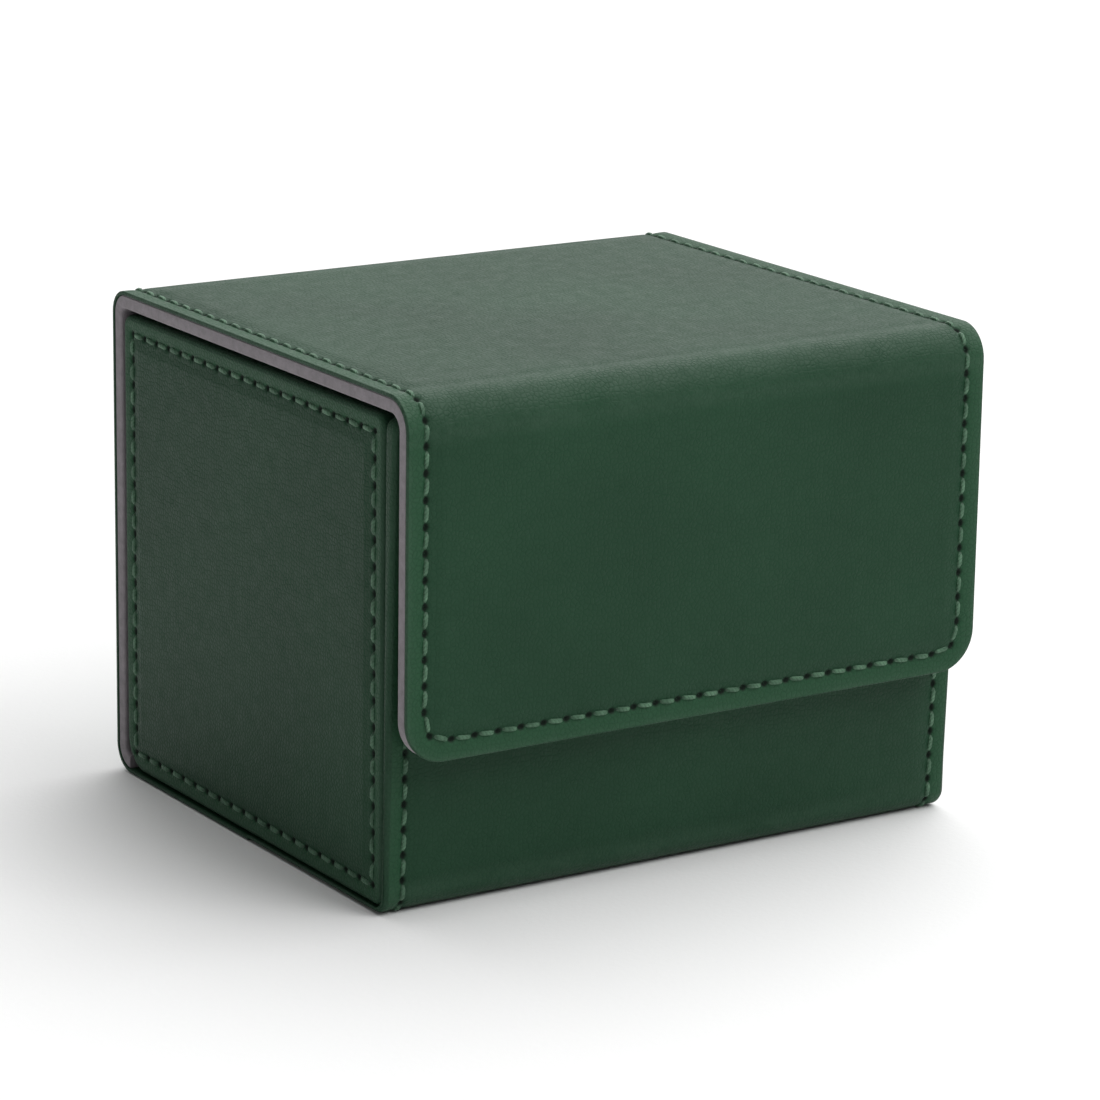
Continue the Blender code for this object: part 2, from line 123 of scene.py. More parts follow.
# ------------------------------------------------------------------ spacing of the grids
HEM_STEP = 0.05 * MM  # half the width of the step at the inner edge of a hem
HEM_REACH = 2.2 * MM  # reach of the lines crowded round a row, on a turned piece
CUT_REACH = 2.4 * MM  # the same, on a piece with cut edges
LINE_ROOM = 0.15 * MM  # least room between two lines along the strip
PLAIN_LINES = np.arange(-0.05, 0.05, 2.5 * MM)  # lines across the strip where nothing is sewn
EDGE_FADE = (0.0006, 0.0026)  # where the unevenness fades in, from a free edge
BOARD_SIDE = (4.6 * MM, 5.8 * MM)  # where a strip board's mask rises, from the strip's edge
BOARD_HEAD = (0.6 * MM, 3.0 * MM)  # the same, from the start of the board's run
SIDE_BOARD = (4.2 * MM, 5.4 * MM)  # the same, from a side panel's edge
LEATHER_WAVE = 46 * MM  # wavelengths of the unevenness: leather, its margins and the lining
MARGIN_WAVE = 7 * MM
NAP_WAVE = 38 * MM
NAP_SHIFT = 0.031  # moves the lining's waves off the leather's

# ------------------------------------------------------------------ the strip laid out flat
FOOT_TANGENT = FRONT_FOOT_RADIUS * math.tan((QUARTER - FRONT_LEAN) / 2)
STRIP_MOVES = {  # length or fold radius, and the angle that it turns through
    "front": (SIDE_TOP / math.cos(FRONT_LEAN) - FOOT_TANGENT, 0),
    "front_foot": (FRONT_FOOT_RADIUS, QUARTER - FRONT_LEAN),
    "bottom": (BODY_BACK - BODY_FRONT - FOOT_TANGENT - BACK_FOOT_RADIUS, 0),
    "back_foot": (BACK_FOOT_RADIUS, QUARTER),
    "back": (HEIGHT - BACK_FOOT_RADIUS - REAR_RADIUS, 0),
    "rear_fold": (REAR_RADIUS, QUARTER),
    "lid": (BODY_BACK - FLAP_FRONT - REAR_RADIUS - FRONT_RADIUS, 0),
    "front_fold": (FRONT_RADIUS, QUARTER),
    "flap": (HEIGHT - FRONT_RADIUS - FLAP_BOTTOM, 0),
}


def unit(angle):
    """The direction (cos, sin) of an angle."""
    return np.array((math.cos(angle), math.sin(angle)))


def walk_strip():
    """Each run of the strip by name: its first and last length, start point, heading and radius."""
    runs, first = {}, 0.0
    point = np.array((FRONT_HEAD_Y, SIDE_TOP))
    heading = FRONT_LEAN - QUARTER
    for name, (size, turn) in STRIP_MOVES.items():
        length = size * turn if turn else size
        runs[name] = (first, first + length, point, heading, size if turn else 0.0)
        if turn:
            centre = point + size * unit(heading + QUARTER)
            point = centre - size * unit(heading + QUARTER + turn)
        else:
            point = point + size * unit(heading)
        heading += turn
        first += length
    return runs


RUNS = walk_strip()
STRIP_END = RUNS["flap"][1]


def bend_strip(u, s, depth):
    """World points of the strip at width u, length s and depth inwards from its outer face.

    On a flat run: start + run * heading + depth * inward. On a fold: centre - (radius - depth)
    * inward, where inward turns by run / radius.
    """
    y, z = np.zeros_like(s), np.zeros_like(s)
    for first, last, point, heading, radius in RUNS.values():
        here = (s >= first) & (s <= last)
        run = s[here] - first
        if radius:
            centre = point + radius * unit(heading + QUARTER)
            turned = heading + QUARTER + run / radius
            y[here] = centre[0] - (radius - depth[here]) * np.cos(turned)
            z[here] = centre[1] - (radius - depth[here]) * np.sin(turned)
        else:
            ahead, inward = unit(heading), unit(heading + QUARTER)
            y[here] = point[0] + run * ahead[0] + depth[here] * inward[0]
            z[here] = point[1] + run * ahead[1] + depth[here] * inward[1]
    return np.stack([u, y, z], axis=-1)


def bend_side(side):
    """Lays a flat panel on the left (-1) or right (+1) end of the box: u runs along Y, s up Z."""
    def place(u, s, depth):
        return np.stack([side * (HALF_WIDTH - depth), u, s], axis=-1)
    return place


# ------------------------------------------------------------------ flat outlines and grids
class Outline:
    """A rectangle with rounded corners in u and s. An edge that isn't free is cut square.

    radii and free are in the order: low u low s, high u low s, high u high s, low u high s,
    and low u, high u, low s, high s.
    """

    def __init__(self, low, high, radii, free):
        self.low, self.high = np.array(low, float), np.array(high, float)
        self.radii, self.free = radii, free

    def corners(self):
        """Centre, outward signs and radius of each rounded corner."""
        signs = ((-1, -1), (1, -1), (1, 1), (-1, 1))
        for sign, radius in zip(signs, self.radii):
            if radius:
                sign = np.array(sign)
                edge = np.where(sign > 0, self.high, self.low)
                yield edge - sign * radius, sign, radius

    def inset(self, points):
        """Distance of points from the free edges, inwards: the rounded box distance, negated."""
        low = np.where((self.free[0], self.free[2]), self.low, self.low - 1.0)
        high = np.where((self.free[1], self.free[3]), self.high, self.high + 1.0)
        away = points - (low + high) / 2
        right, upper = away[..., 0] > 0, away[..., 1] > 0
        radius = np.where(
            upper,
            np.where(right, self.radii[2], self.radii[3]),
            np.where(right, self.radii[1], self.radii[0]),
        )
        reach = np.abs(away) - (high - low) / 2 + radius[..., None]
        outside = np.linalg.norm(np.maximum(reach, 0), axis=-1)
        return radius - outside - np.minimum(reach.max(axis=-1), 0)


def round_corners(points, outline):
    """Carries each square corner of a grid onto its quarter disc.

    A point at (a, b) from the corner's centre goes to radius max(a, b) and to an angle of an
    eighth turn times the smaller over the larger, measured from the nearer axis.
    """
    rounded = points.copy()
    for centre, sign, radius in outline.corners():
        away = (points - centre) * sign
        here = (away > 0).all(axis=-1)
        a, b = away[here, 0], away[here, 1]
        reach = np.maximum(a, b)
        share = EIGHTH * np.minimum(a, b) / reach
        angle = np.where(a >= b, share, QUARTER - share)
        arc = np.stack([np.cos(angle), np.sin(angle)], axis=-1)
        rounded[here] = centre + sign * reach[:, None] * arc
    return rounded


def grid_points(lines_u, lines_s, outline):
    """Points where the grid lines cross, with the outline's corners rounded."""
    u, s = np.meshgrid(lines_u, lines_s)
    return round_corners(np.stack([u, s], axis=-1), outline)


def border(columns, rows):
    """Indices of a grid's outer vertices, once round, starting along its first row."""
    index = np.arange(rows * columns).reshape(rows, columns)
    return np.concatenate([index[0, :], index[1:, -1], index[-1, -2::-1], index[-2:0:-1, 0]])


def border_outward(flat, columns, rows, outline):
    """Outward direction at each border vertex: along its free edges, or radial on a corner."""
    row, column = np.divmod(border(columns, rows), columns)
    low_u, high_u, low_s, high_s = outline.free
    out_u = (column == columns - 1) * float(high_u) - (column == 0) * float(low_u)
    out_s = (row == rows - 1) * float(high_s) - (row == 0) * float(low_s)
    outward = np.stack([out_u, out_s], axis=-1)
    for centre, sign, radius in outline.corners():
        away = (flat - centre) * sign
        here = (away > -1e-9).all(axis=-1)
        outward[here] = sign * away[here] / np.linalg.norm(away[here], axis=-1)[:, None]
    return outward


def grid_quads(columns, rows):
    """Quads between neighbouring vertices of a grid."""
    index = np.arange(rows * columns).reshape(rows, columns)
    return np.stack(
        [index[:-1, :-1], index[:-1, 1:], index[1:, 1:], index[1:, :-1]], axis=-1
    ).reshape(-1, 4)


def ring_quads(first, second):
    """Quads between two closed rings of the same count."""
    return np.stack([first, np.roll(first, -1), np.roll(second, -1), second], axis=-1)


def quarter_round(radius, steps):
    """(outset, depth) of a quarter-round edge, from just past the face to the full outset."""
    angle = QUARTER * np.arange(1, steps + 1) / steps
    return [(radius * math.sin(a), radius * (1 - math.cos(a))) for a in angle]


def thin_lines(lines, room):
    """Sorted grid lines without those closer than room to the one before."""
    lines = np.sort(lines)
    return lines[np.concatenate([[True], np.diff(lines) > room])]


def grid_lines(low, high, low_margin, high_margin, between, room=0.0001):
    """Grid lines from low to high: the margins' own lines, and those of between inside them."""
    low_lines = low + np.array(low_margin)
    high_lines = high - np.array(high_margin)
    inner_low, inner_high = low_lines.max() + room, high_lines.min() - room
    inner = between[(between > inner_low) & (between < inner_high)]
    return np.concatenate([np.sort(low_lines), thin_lines(inner, room), np.sort(high_lines)])


# ------------------------------------------------------------------ sewing
class Row:
    """A row of stitch holes: centres, directions along the row and the row's distance field."""

    def __init__(self, holes, along, outline, inset):
        self.holes, self.along, self.outline, self.inset = holes, along, outline, inset

    def offset(self, points):
        """Distance of points from the row, positive on its inner side."""
        return self.outline.inset(points) - self.inset

    def hole_mask(self, points, length, width):
        """1 at a hole's centre, falling off as exp(-(along / length)^2 - (across / width)^2)."""
        flat = points.reshape(-1, 2)
        mask = np.zeros(len(flat))
        near = np.flatnonzero(np.abs(self.offset(flat)) < 4 * width)
        away = flat[near, None, :] - self.holes[None, :, :]
        along = (away * self.along[None]).sum(axis=-1)
        across = away[..., 0] * self.along[None, :, 1] - away[..., 1] * self.along[None, :, 0]
        mask[near] = np.exp(-((along / length) ** 2 + (across / width) ** 2).min(axis=1))
        return mask.reshape(points.shape[:-1])


def sew(corners, radii, stitch, closed=False):
    """Hole centres and directions along straight legs with rounded or sharp turns.

    A leg has evenly spaced holes, the count nearest its length over the stitch. A sharp turn
    has a hole on it. A rounded turn has one hole half-way round, and its legs stop short by
    the radius and by a stitch less half the arc.
    """
    corners = [np.array(corner, float) for corner in corners]
    count = len(corners)
    holes, along = [], []
    for i in range(count if closed else count - 1):
        start, end = corners[i], corners[(i + 1) % count]
        radius, following = radii[i], radii[(i + 1) % count]
        ahead = (end - start) / np.linalg.norm(end - start)
        trim = [r + stitch - r * EIGHTH if r else 0.0 for r in (radius, following)]
        length = np.linalg.norm(end - start) - sum(trim)
        steps = max(1, round(length / stitch))
        share = np.linspace(0, 1, steps + 1)[0 if radius or not holes else 1:]
        if closed and i == count - 1 and not following:
            share = share[:-1]
        holes.append(start + (trim[0] + share[:, None] * length) * ahead)
        along.append(np.tile(ahead, (len(share), 1)))
        if following:
            beyond = corners[(i + 2) % count] - end
            beyond = beyond / np.linalg.norm(beyond)
            centre = end + following * (beyond - ahead)
            holes.append([centre + following * (ahead - beyond) / math.sqrt(2)])
            along.append([(ahead + beyond) / math.sqrt(2)])
    return np.concatenate(holes), np.concatenate(along)


def strip_row(stitch):
    """The strip's row: up one side from the front panel's head, round the flap and back."""
    foot = STRIP_END - ROW_INSET
    radius = FLAP_CORNER_RADIUS - ROW_INSET
    corners = [(-ROW_X, ROW_INSET), (-ROW_X, foot), (ROW_X, foot), (ROW_X, ROW_INSET)]
    holes, along = sew(corners, [0, radius, radius, 0], stitch)
    corner = FLAP_CORNER_RADIUS
    flat = Outline(
        (-HALF_WIDTH, 0), (HALF_WIDTH, STRIP_END), (0, 0, corner, corner), (1, 1, 0, 1)
    )
    return Row(holes, along, flat, ROW_INSET)


def side_outline(inset=0.0):
    """Outline of a side panel, or of what lies an inset inside it."""
    low = SIDE_LOW[1:] + inset
    high = SIDE_HIGH[1:] - inset
    radii = [max(radius - inset, 0.0004) for radius in SIDE_CORNER_RADII]
    return Outline(low, high, radii, (1, 1, 1, 1))


def side_row(stitch):
    """The row round a side panel, with a hole on each corner."""
    low = SIDE_LOW[1:] + SIDE_ROW_INSET
    high = SIDE_HIGH[1:] - SIDE_ROW_INSET
    corners = [low, (high[0], low[1]), high, (low[0], high[1])]
    holes, along = sew(corners, [0, 0, 0, 0], stitch, closed=True)
    edge = Outline(SIDE_LOW[1:], SIDE_HIGH[1:], (SIDE_CORNER_RADII[0],) * 4, (1, 1, 1, 1))
    return Row(holes, along, edge, SIDE_ROW_INSET)


def seam_between(holes, middle):
    """The place half-way between the two hole lengths nearest to middle."""
    lengths = np.unique(holes)
    halves = (lengths[:-1] + lengths[1:]) / 2
    return float(halves[np.argmin(np.abs(halves - middle))])


def strip_seams(row):
    """Lengths at which the strip is parted: under the bottom and across the lid."""
    left = row.holes[:, 0] < -ROW_X + 0.1 * MM
    lengths = row.holes[left, 1]
    return [seam_between(lengths, sum(RUNS[name][:2]) / 2) for name in ("bottom", "lid")]


# ------------------------------------------------------------------ relief of the leather
def smooth_step(value, low, high):
    """0 below low, 1 above high, and share^2 * (3 - 2 * share) between."""
    share = np.clip((value - low) / (high - low), 0, 1)
    return share * share * (3 - 2 * share)


def soft_waves(points, wavelength):
    """Gentle unevenness from 0 to 1: the mean of four sine waves that cross at odd angles."""
    total = np.zeros(points.shape[:-1])
    for k in range(4):
        way = unit(0.7 + 1.9 * k)
        size = wavelength * (1 + 0.37 * k)
        total += np.sin(2 * math.pi * (points @ way) / size + 1.3 * k)
    return 0.5 + total / 8


def board_mask_strip(points):
    """1 over the strip's stiff boards and 0 over its folds and margins."""
    edge = smooth_step(HALF_WIDTH - np.abs(points[..., 0]), *BOARD_SIDE)
    along = np.zeros(points.shape[:-1])
    for name in ("front", "bottom", "back", "lid", "flap"):
        first, last = RUNS[name][:2]
        rise = smooth_step(points[..., 1], first + BOARD_HEAD[0], first + BOARD_HEAD[1])
        room = 5.8 * MM if name == "flap" else 3.0 * MM
        fall = 1 - smooth_step(points[..., 1], last - room, last - room + 2.0 * MM)
        along += rise * fall
    return edge * along


def board_mask_side(points):
    """1 over a side panel's board and 0 over its margins."""
    return smooth_step(side_outline().inset(points), *SIDE_BOARD)


def fold_mask(points):
    """1 on the strip's folds, fading out over 3 mm of its flat runs."""
    mask = np.zeros(points.shape[:-1])
    for name in ("front_foot", "back_foot", "rear_fold", "front_fold"):
        first, last = RUNS[name][:2]
        away = np.maximum(first - points[..., 1], points[..., 1] - last)
        mask = np.maximum(mask, 1 - smooth_step(away, 0, 3 * MM))
    return mask


# ------------------------------------------------------------------ meshes
def make_piece(name, points, quads, uv, masks, material):
    """A mesh object of quads. uv is one pair for each face corner, masks one value a vertex."""
    a, b, c, d = (points[quads[:, k]] for k in range(4))
    volume = (a * np.cross(b, c)).sum() + (a * np.cross(c, d)).sum()
    if volume < 0:
        quads, uv = quads[:, ::-1], uv.reshape(-1, 4, 2)[:, ::-1]
    mesh = bpy.data.meshes.new(name)
    mesh.vertices.add(len(points))
    mesh.vertices.foreach_set("co", points.astype(np.float32).ravel())
    mesh.loops.add(quads.size)
    mesh.loops.foreach_set("vertex_index", quads.astype(np.int32).ravel())
    mesh.polygons.add(len(quads))
    mesh.polygons.foreach_set("loop_start", np.arange(0, quads.size, 4, dtype=np.int32))
    mesh.uv_layers.new(name="Cut").data.foreach_set("uv", uv.astype(np.float32).ravel())
    for label, values in masks.items():
        attribute = mesh.attributes.new(label, "FLOAT", "POINT")
        attribute.data.foreach_set("value", values.astype(np.float32))
    mesh.update(calc_edges=True)
    mesh.shade_smooth()
    mesh.set_sharp_from_angle(angle=math.radians(42))
    mesh.materials.append(material)
    piece = bpy.data.objects.new(name, mesh)
    bpy.context.scene.collection.objects.link(piece)
    return piece


def closed_sheet(
    name, outline, lines, edge, face_depth, level, back_depth, back_inset, bend, masks, material
):
    """A sheet with a face, a shaped edge and a back, closed all round.

    lines are the face's grid lines in u and s. edge lists (outset, depth) rows that carry the
    face's border round the rim; a depth may be an array over the border. The face's own
    unevenness, its depth less its level, fades out over those rows. The back has the face's
    grid with its outermost lines moved out to back_inset. On an edge that isn't free the
    rows have no outset, which makes a flat cut.
    """
    lines_u, lines_s = lines
    columns, rows = len(lines_u), len(lines_s)
    face = grid_points(lines_u, lines_s, outline)
    depth = face_depth(face)
    ring = border(columns, rows)
    rim, uneven = face.reshape(-1, 2)[ring], depth.ravel()[ring] - level
    outward = border_outward(rim, columns, rows, outline)

    back_u, back_s = lines_u.copy(), lines_s.copy()
    low_u, high_u, low_s, high_s = outline.free
    back_u[0] = outline.low[0] + back_inset * low_u
    back_u[-1] = outline.high[0] - back_inset * high_u
    back_s[0] = outline.low[1] + back_inset * low_s
    back_s[-1] = outline.high[1] - back_inset * high_s
    back = grid_points(back_u, back_s, outline)

    flat = [face.reshape(-1, 2)]
    depths = [depth.ravel()]
    rings = [ring]
    count = rows * columns
    for step, (outset, row_depth) in enumerate(edge):
        flat.append(rim + outset * outward)
        fade = 1 - (step + 1) / (len(edge) + 1)
        depths.append(np.broadcast_to(row_depth, len(ring)) + uneven * fade)
        rings.append(count + np.arange(len(ring)))
        count += len(ring)
    flat.append(back.reshape(-1, 2))
    depths.append(back_depth(back).ravel())
    rings.append(count + ring)

    quads = [grid_quads(columns, rows)]
    quads += [ring_quads(one, two)[:, ::-1] for one, two in zip(rings, rings[1:])]
    quads.append(grid_quads(columns, rows)[:, ::-1] + count)
    flat, depths, quads = np.concatenate(flat), np.concatenate(depths), np.concatenate(quads)
    points = bend(flat[:, 0], flat[:, 1], depths)

    slide = np.zeros((len(flat), 2))
    on_rim = np.arange(rows * columns, count)
    slide[on_rim] = np.tile(outward, (len(edge), 1)) * depths[on_rim, None]
    uv = (flat + slide)[quads.ravel()]
    values = masks(flat, depths, np.arange(len(flat)) >= rows * columns)
    return make_piece(name, points, quads, uv, values, material)


# ------------------------------------------------------------------ leather pieces
def row_lines(inset, reach, first, extra):
    """Margin lines, crowded round a stitch row: row + sign(t) * |t|^crowding * reach."""
    count, crowding = 13, 1.6
    t = np.linspace(-1, 1, count)
    lines = inset + np.sign(t) * np.abs(t) ** crowding * reach
    lines = np.concatenate([lines[lines > first + 0.15 * MM], extra])
    return np.concatenate([[first], np.unique(lines)])


def hole_lines(holes, sizes):
    """Grid lines that sample each hole five times and the thread between holes twice."""
    places = np.unique(np.round(holes, 7))
    steps = np.array([-2, -1, 0, 1, 2]) * sizes.hole_length * 0.6
    between = np.array([-0.36, 0.36]) * sizes.stitch
    return (places[:, None] + np.concatenate([steps, between])).ravel()


def leather_relief(row, board, sizes):
    """Depth of the outer face: low margins, a groove along the row, a pit at each hole.

    Depth = margin step * (1 - board) + groove depth * exp(-(offset / groove width)^2)
    + hole depth * hole mask + waves, which fade out towards the free edges.
    """
    def depth(points):
        offset = row.offset(points)
        groove = np.exp(-((offset / sizes.groove_width) ** 2))
        hole = row.hole_mask(points, sizes.hole_length, sizes.hole_width)
        inset = offset + row.inset
        away = smooth_step(inset, *EDGE_FADE)
        waves = soft_waves(points, LEATHER_WAVE) * sizes.waviness
        bulge = soft_waves(points, MARGIN_WAVE) * sizes.waviness * 0.35 * (1 - board(points))
        low = sizes.margin_step * (1 - board(points))
        return low + groove * sizes.groove_depth + hole * sizes.hole_depth + (waves + bulge) * away
    return depth


def leather_masks(row, folds, sizes):
    """Masks for the finish: hole, groove, margin outside the row, and rubbed edges that also carry a
    painted highlight.

    The mask = exp(-inset / 0.5 mm) * exp(-depth / 0.9 mm), halved on the lower half of the rim,
    plus 0.35 of the fold mask on the face: partly rubbed wear, partly a painted highlight on the rim and
    the folds.
    """
    def masks(flat, depths, off_face):
        offset = row.offset(flat)
        inset = offset + row.inset
        on_face = ~off_face
        # Painted highlight with wear: lightest at the top of the rim, fading with depth and inwards.
        rub_highlight = np.exp(-np.maximum(inset, 0) / (0.5 * MM)) * np.exp(-depths / (0.9 * MM))
        rub_highlight = np.where(depths > 0.5 * sizes.leather, rub_highlight * 0.5, rub_highlight)
        return {
            "hole": row.hole_mask(flat, sizes.hole_length * 1.1, sizes.hole_width * 1.1) * on_face,
            "groove": np.exp(-((offset / sizes.groove_width) ** 2)) * on_face,
            "margin": (1 - smooth_step(offset, -0.3 * MM, 0.5 * MM)) * on_face,
            # Folds get 0.35 of the mask: a painted highlight along the bends, besides rubbing.
            "rub_highlight": np.clip(rub_highlight + 0.35 * folds(flat) * on_face, 0, 1),
        }
    return masks


def raw_edge(sizes):
    """Rim rows of a cut edge: a small round, then straight down to the back."""
    rounded = quarter_round(sizes.cut_round, 3)
    return rounded + [(sizes.cut_round, sizes.leather - 0.12 * MM)]


def turned_edge(sizes, depth, steps=5):
    """Rim rows of leather turned round an edge: a large round, a straight side, a small round."""
    under = sizes.turn_round / 2
    rows = quarter_round(sizes.turn_round, steps)
    rows.append((sizes.turn_round, depth - under))
    for k in (1, 2, 3):
        angle = QUARTER * k / 4
        outset = sizes.turn_round - under * (1 - math.cos(angle))
        rows.append((outset, depth - under * (1 - math.sin(angle))))
    return rows


def hem_back(outline, hem_width, hem_depth, leather):
    """Back of a turned piece: as deep as the hem near the edge, and one leather thick inside."""
    def depth(points):
        inside = smooth_step(outline.inset(points), hem_width - HEM_STEP, hem_width + HEM_STEP)
        deep = hem_depth(points) if callable(hem_depth) else hem_depth
        return deep + (leather - deep) * inside
    return depth


def fold_lines(first, last):
    """Grid lines every 0.5 mm along the folds between two lengths."""
    lines = [np.arange(*RUNS[name][:2], 0.5 * MM) for name in STRIP_MOVES if STRIP_MOVES[name][1]]
    lines = np.concatenate(lines)
    return lines[(lines > first) & (lines < last)]


def front_hem_depth(sizes):
    """Depth of the front panel's turned edge: shallow at the foot and deep at the head."""
    foot = RUNS["front"][1]

    def depth(points):
        share = np.clip(points[..., 1] / foot, 0, 1)
        return sizes.hem_head + (sizes.hem_foot - sizes.hem_head) * share
    return depth


def sewn_lines(row, first, last, sizes):
    """Grid lines along the strip for its holes and its folds."""
    return np.concatenate([hole_lines(row.holes[:, 1], sizes), fold_lines(first, last)])


def flat_back(depth):
    """A back that lies at one depth."""
    return lambda points: np.full(points.shape[:-1], depth)


def make_front_leather(sizes, row, seam, material):
    """Front panel and the front half of the bottom, with its side and head edges turned."""
    radii = (HEAD_CORNER_RADIUS, HEAD_CORNER_RADIUS, 0, 0)
    outline = Outline((-HALF_WIDTH, 0), (HALF_WIDTH, seam), radii, (1, 1, 1, 0))
    turn = sizes.turn_round
    hem_width = HALF_WIDTH - SIDE_INNER_X + 0.2 * MM
    margin = row_lines(ROW_INSET, HEM_REACH, turn, [hem_width - HEM_STEP, hem_width + HEM_STEP])
    lines_u = grid_lines(-HALF_WIDTH, HALF_WIDTH, margin, margin, PLAIN_LINES)
    head = [turn, turn + 0.4 * MM, HEAD_CORNER_RADIUS]
    lines_s = grid_lines(0, seam, head, [0.0], sewn_lines(row, 0, seam, sizes), LINE_ROOM)
    deep = front_hem_depth(sizes)
    ring = grid_points(lines_u, lines_s, outline).reshape(-1, 2)[border(len(lines_u), len(lines_s))]
    return closed_sheet(
        "leather_front", outline, (lines_u, lines_s), turned_edge(sizes, deep(ring)),
        leather_relief(row, board_mask_strip, sizes), 0.0,
        hem_back(outline, hem_width, deep, sizes.leather), turn / 2,
        bend_strip, leather_masks(row, fold_mask, sizes), material,
    )


def make_cut_leather(name, first, last, sizes, row, material):
    """A raw-edged run of the strip, up to a seam or to the flap's two round corners."""
    at_end = last == STRIP_END
    corner = FLAP_CORNER_RADIUS if at_end else 0
    low, high = (-HALF_WIDTH, first), (HALF_WIDTH, last)
    outline = Outline(low, high, (0, 0, corner, corner), (1, 1, 0, at_end))
    margin = row_lines(ROW_INSET, CUT_REACH, sizes.cut_round, [corner] if at_end else [])
    across = hole_lines(row.holes[:, 0], sizes) if at_end else PLAIN_LINES
    lines_u = grid_lines(-HALF_WIDTH, HALF_WIDTH, margin, margin, across)
    end_margin = margin if at_end else [0.0]
    along = sewn_lines(row, first, last, sizes)
    lines_s = grid_lines(first, last, [0.0], end_margin, along, LINE_ROOM)
    return closed_sheet(
        name, outline, (lines_u, lines_s), raw_edge(sizes),
        leather_relief(row, board_mask_strip, sizes), 0.0, flat_back(sizes.leather), 0.12 * MM,
        bend_strip, leather_masks(row, fold_mask, sizes), material,
    )


def make_side_leather(side, word, sizes, row, material):
    """A side panel's leather, turned round all four edges."""
    outline = side_outline()
    turn = sizes.turn_round
    hem = [sizes.side_hem - HEM_STEP, sizes.side_hem + HEM_STEP]
    margin = row_lines(SIDE_ROW_INSET, HEM_REACH, turn, [*hem, SIDE_CORNER_RADII[1]])
    lines = []
    for k in (0, 1):
        between = hole_lines(row.holes[:, k], sizes)
        lines.append(grid_lines(outline.low[k], outline.high[k], margin, margin, between))
    deep = COVER - 0.1 * MM
    return closed_sheet(
        f"leather_side_{word}", outline, lines, turned_edge(sizes, deep),
        leather_relief(row, board_mask_side, sizes), 0.0,
        hem_back(outline, sizes.side_hem, deep, sizes.leather), turn / 2, bend_side(side),
        leather_masks(row, lambda flat: np.zeros(len(flat)), sizes), material,
    )


# ------------------------------------------------------------------ lining pieces

def lining_edge(sizes, thickness):
    """Rim rows of the lining from its inner face out to its outer face."""
    rounded = quarter_round(sizes.nap_round, 4)
    rows = [(outset, COVER - depth) for outset, depth in rounded]
    rows.append((sizes.nap_round, COVER - thickness + 0.15 * MM))
    return rows


def pocket_depth(sizes, boxes):
    """Outer side of the lining: just under the leather, and deeper behind each board."""
    def depth(points):
        pocket = np.zeros(points.shape[:-1])
        for low, high in boxes:
            inside = np.minimum(points - low, np.array(high) - points).min(axis=-1)
            pocket = np.maximum(pocket, smooth_step(inside, 0, 0.1 * MM))
        shallow = sizes.leather + 0.05 * MM
        return shallow + (sizes.pocket - shallow) * pocket
    return depth


def pocket_lines(boxes, k):
    """Grid lines at, just before and just after each edge of the pockets."""
    edges = np.array(boxes)[:, :, k].ravel()
    return np.concatenate([edges, edges - 0.1 * MM, edges + 0.1 * MM])


def strip_pockets(names):
    """(low, high) in u and s of the pocket behind each board, a little larger than the board."""
    room = 2.6 * MM
    boxes = []
    for name in names:
        first, last = RUNS[name][:2]
        foot = 6.6 * MM if name == "flap" else room
        boxes.append(((-BOARD_X - 0.4 * MM, first + room), (BOARD_X + 0.4 * MM, last - foot)))
    return boxes


def nap_relief(outline, sizes, row=None):
    """Depth of the lining's inner face, a soft unevenness with the sewn row pulled in."""
    def depth(points):
        away = smooth_step(outline.inset(points), *EDGE_FADE)
        waves = soft_waves(points + NAP_SHIFT, NAP_WAVE) * sizes.waviness
        pulled = 0.0
        if row:
            groove = np.exp(-((row.offset(points) / (1.3 * sizes.groove_width)) ** 2))
            hole = row.hole_mask(points, sizes.hole_length, sizes.hole_width)
            pulled = groove * sizes.groove_depth * 1.2 + hole * sizes.hole_depth
        return COVER - (waves * away + pulled)
    return depth


def nap_masks(outline):
    """Rubbed edge with a painted highlight: exp(-inset / 0.8 mm), at 0.4 of its strength on the face."""
    def masks(flat, depths, off_face):
        inset = np.maximum(outline.inset(flat), 0)
        # A paler rim, partly rubbed wear and partly a painted highlight.
        return {"rub_highlight": np.exp(-inset / (0.8 * MM)) * (0.4 + 0.6 * off_face)}
    return masks


def lining_sheet(name, outline, lines, boxes, sizes, material, bend=bend_strip, row=None):
    """A closed sheet of lining: its face is the box's inner side, at the cover's full depth."""
    thickness = COVER - sizes.leather - 0.05 * MM
    return closed_sheet(
        name, outline, lines, lining_edge(sizes, thickness), nap_relief(outline, sizes, row), COVER,
        pocket_depth(sizes, boxes), 0.15 * MM, bend, nap_masks(outline), material,
    )


def make_front_lining(sizes, material):
    """Lining of the front panel and the bottom, between the side panels."""
    half = SIDE_INNER_X - 0.3 * MM
    foot = RUNS["bottom"][1]
    head = sizes.side_hem + 0.2 * MM
    outline = Outline((-half, head), (half, foot), (0.5 * MM, 0.5 * MM, 0, 0), (1, 1, 1, 0))
    boxes = strip_pockets(("front", "bottom"))
    margin = [sizes.nap_round, 0.8 * MM, 1.4 * MM, 2.4 * MM]
    across = np.concatenate([np.arange(-half, half, 3 * MM), pocket_lines(boxes, 0)])
    along = np.concatenate([np.arange(0, foot, 2 * MM), pocket_lines(boxes, 1), fold_lines(0, foot)])
    lines_u = grid_lines(-half, half, margin, margin, across)
    lines_s = grid_lines(head, foot, margin, [0.0], along)
    lines = (lines_u, lines_s)
    return lining_sheet("lining_front_and_bottom", outline, lines, boxes, sizes, material)


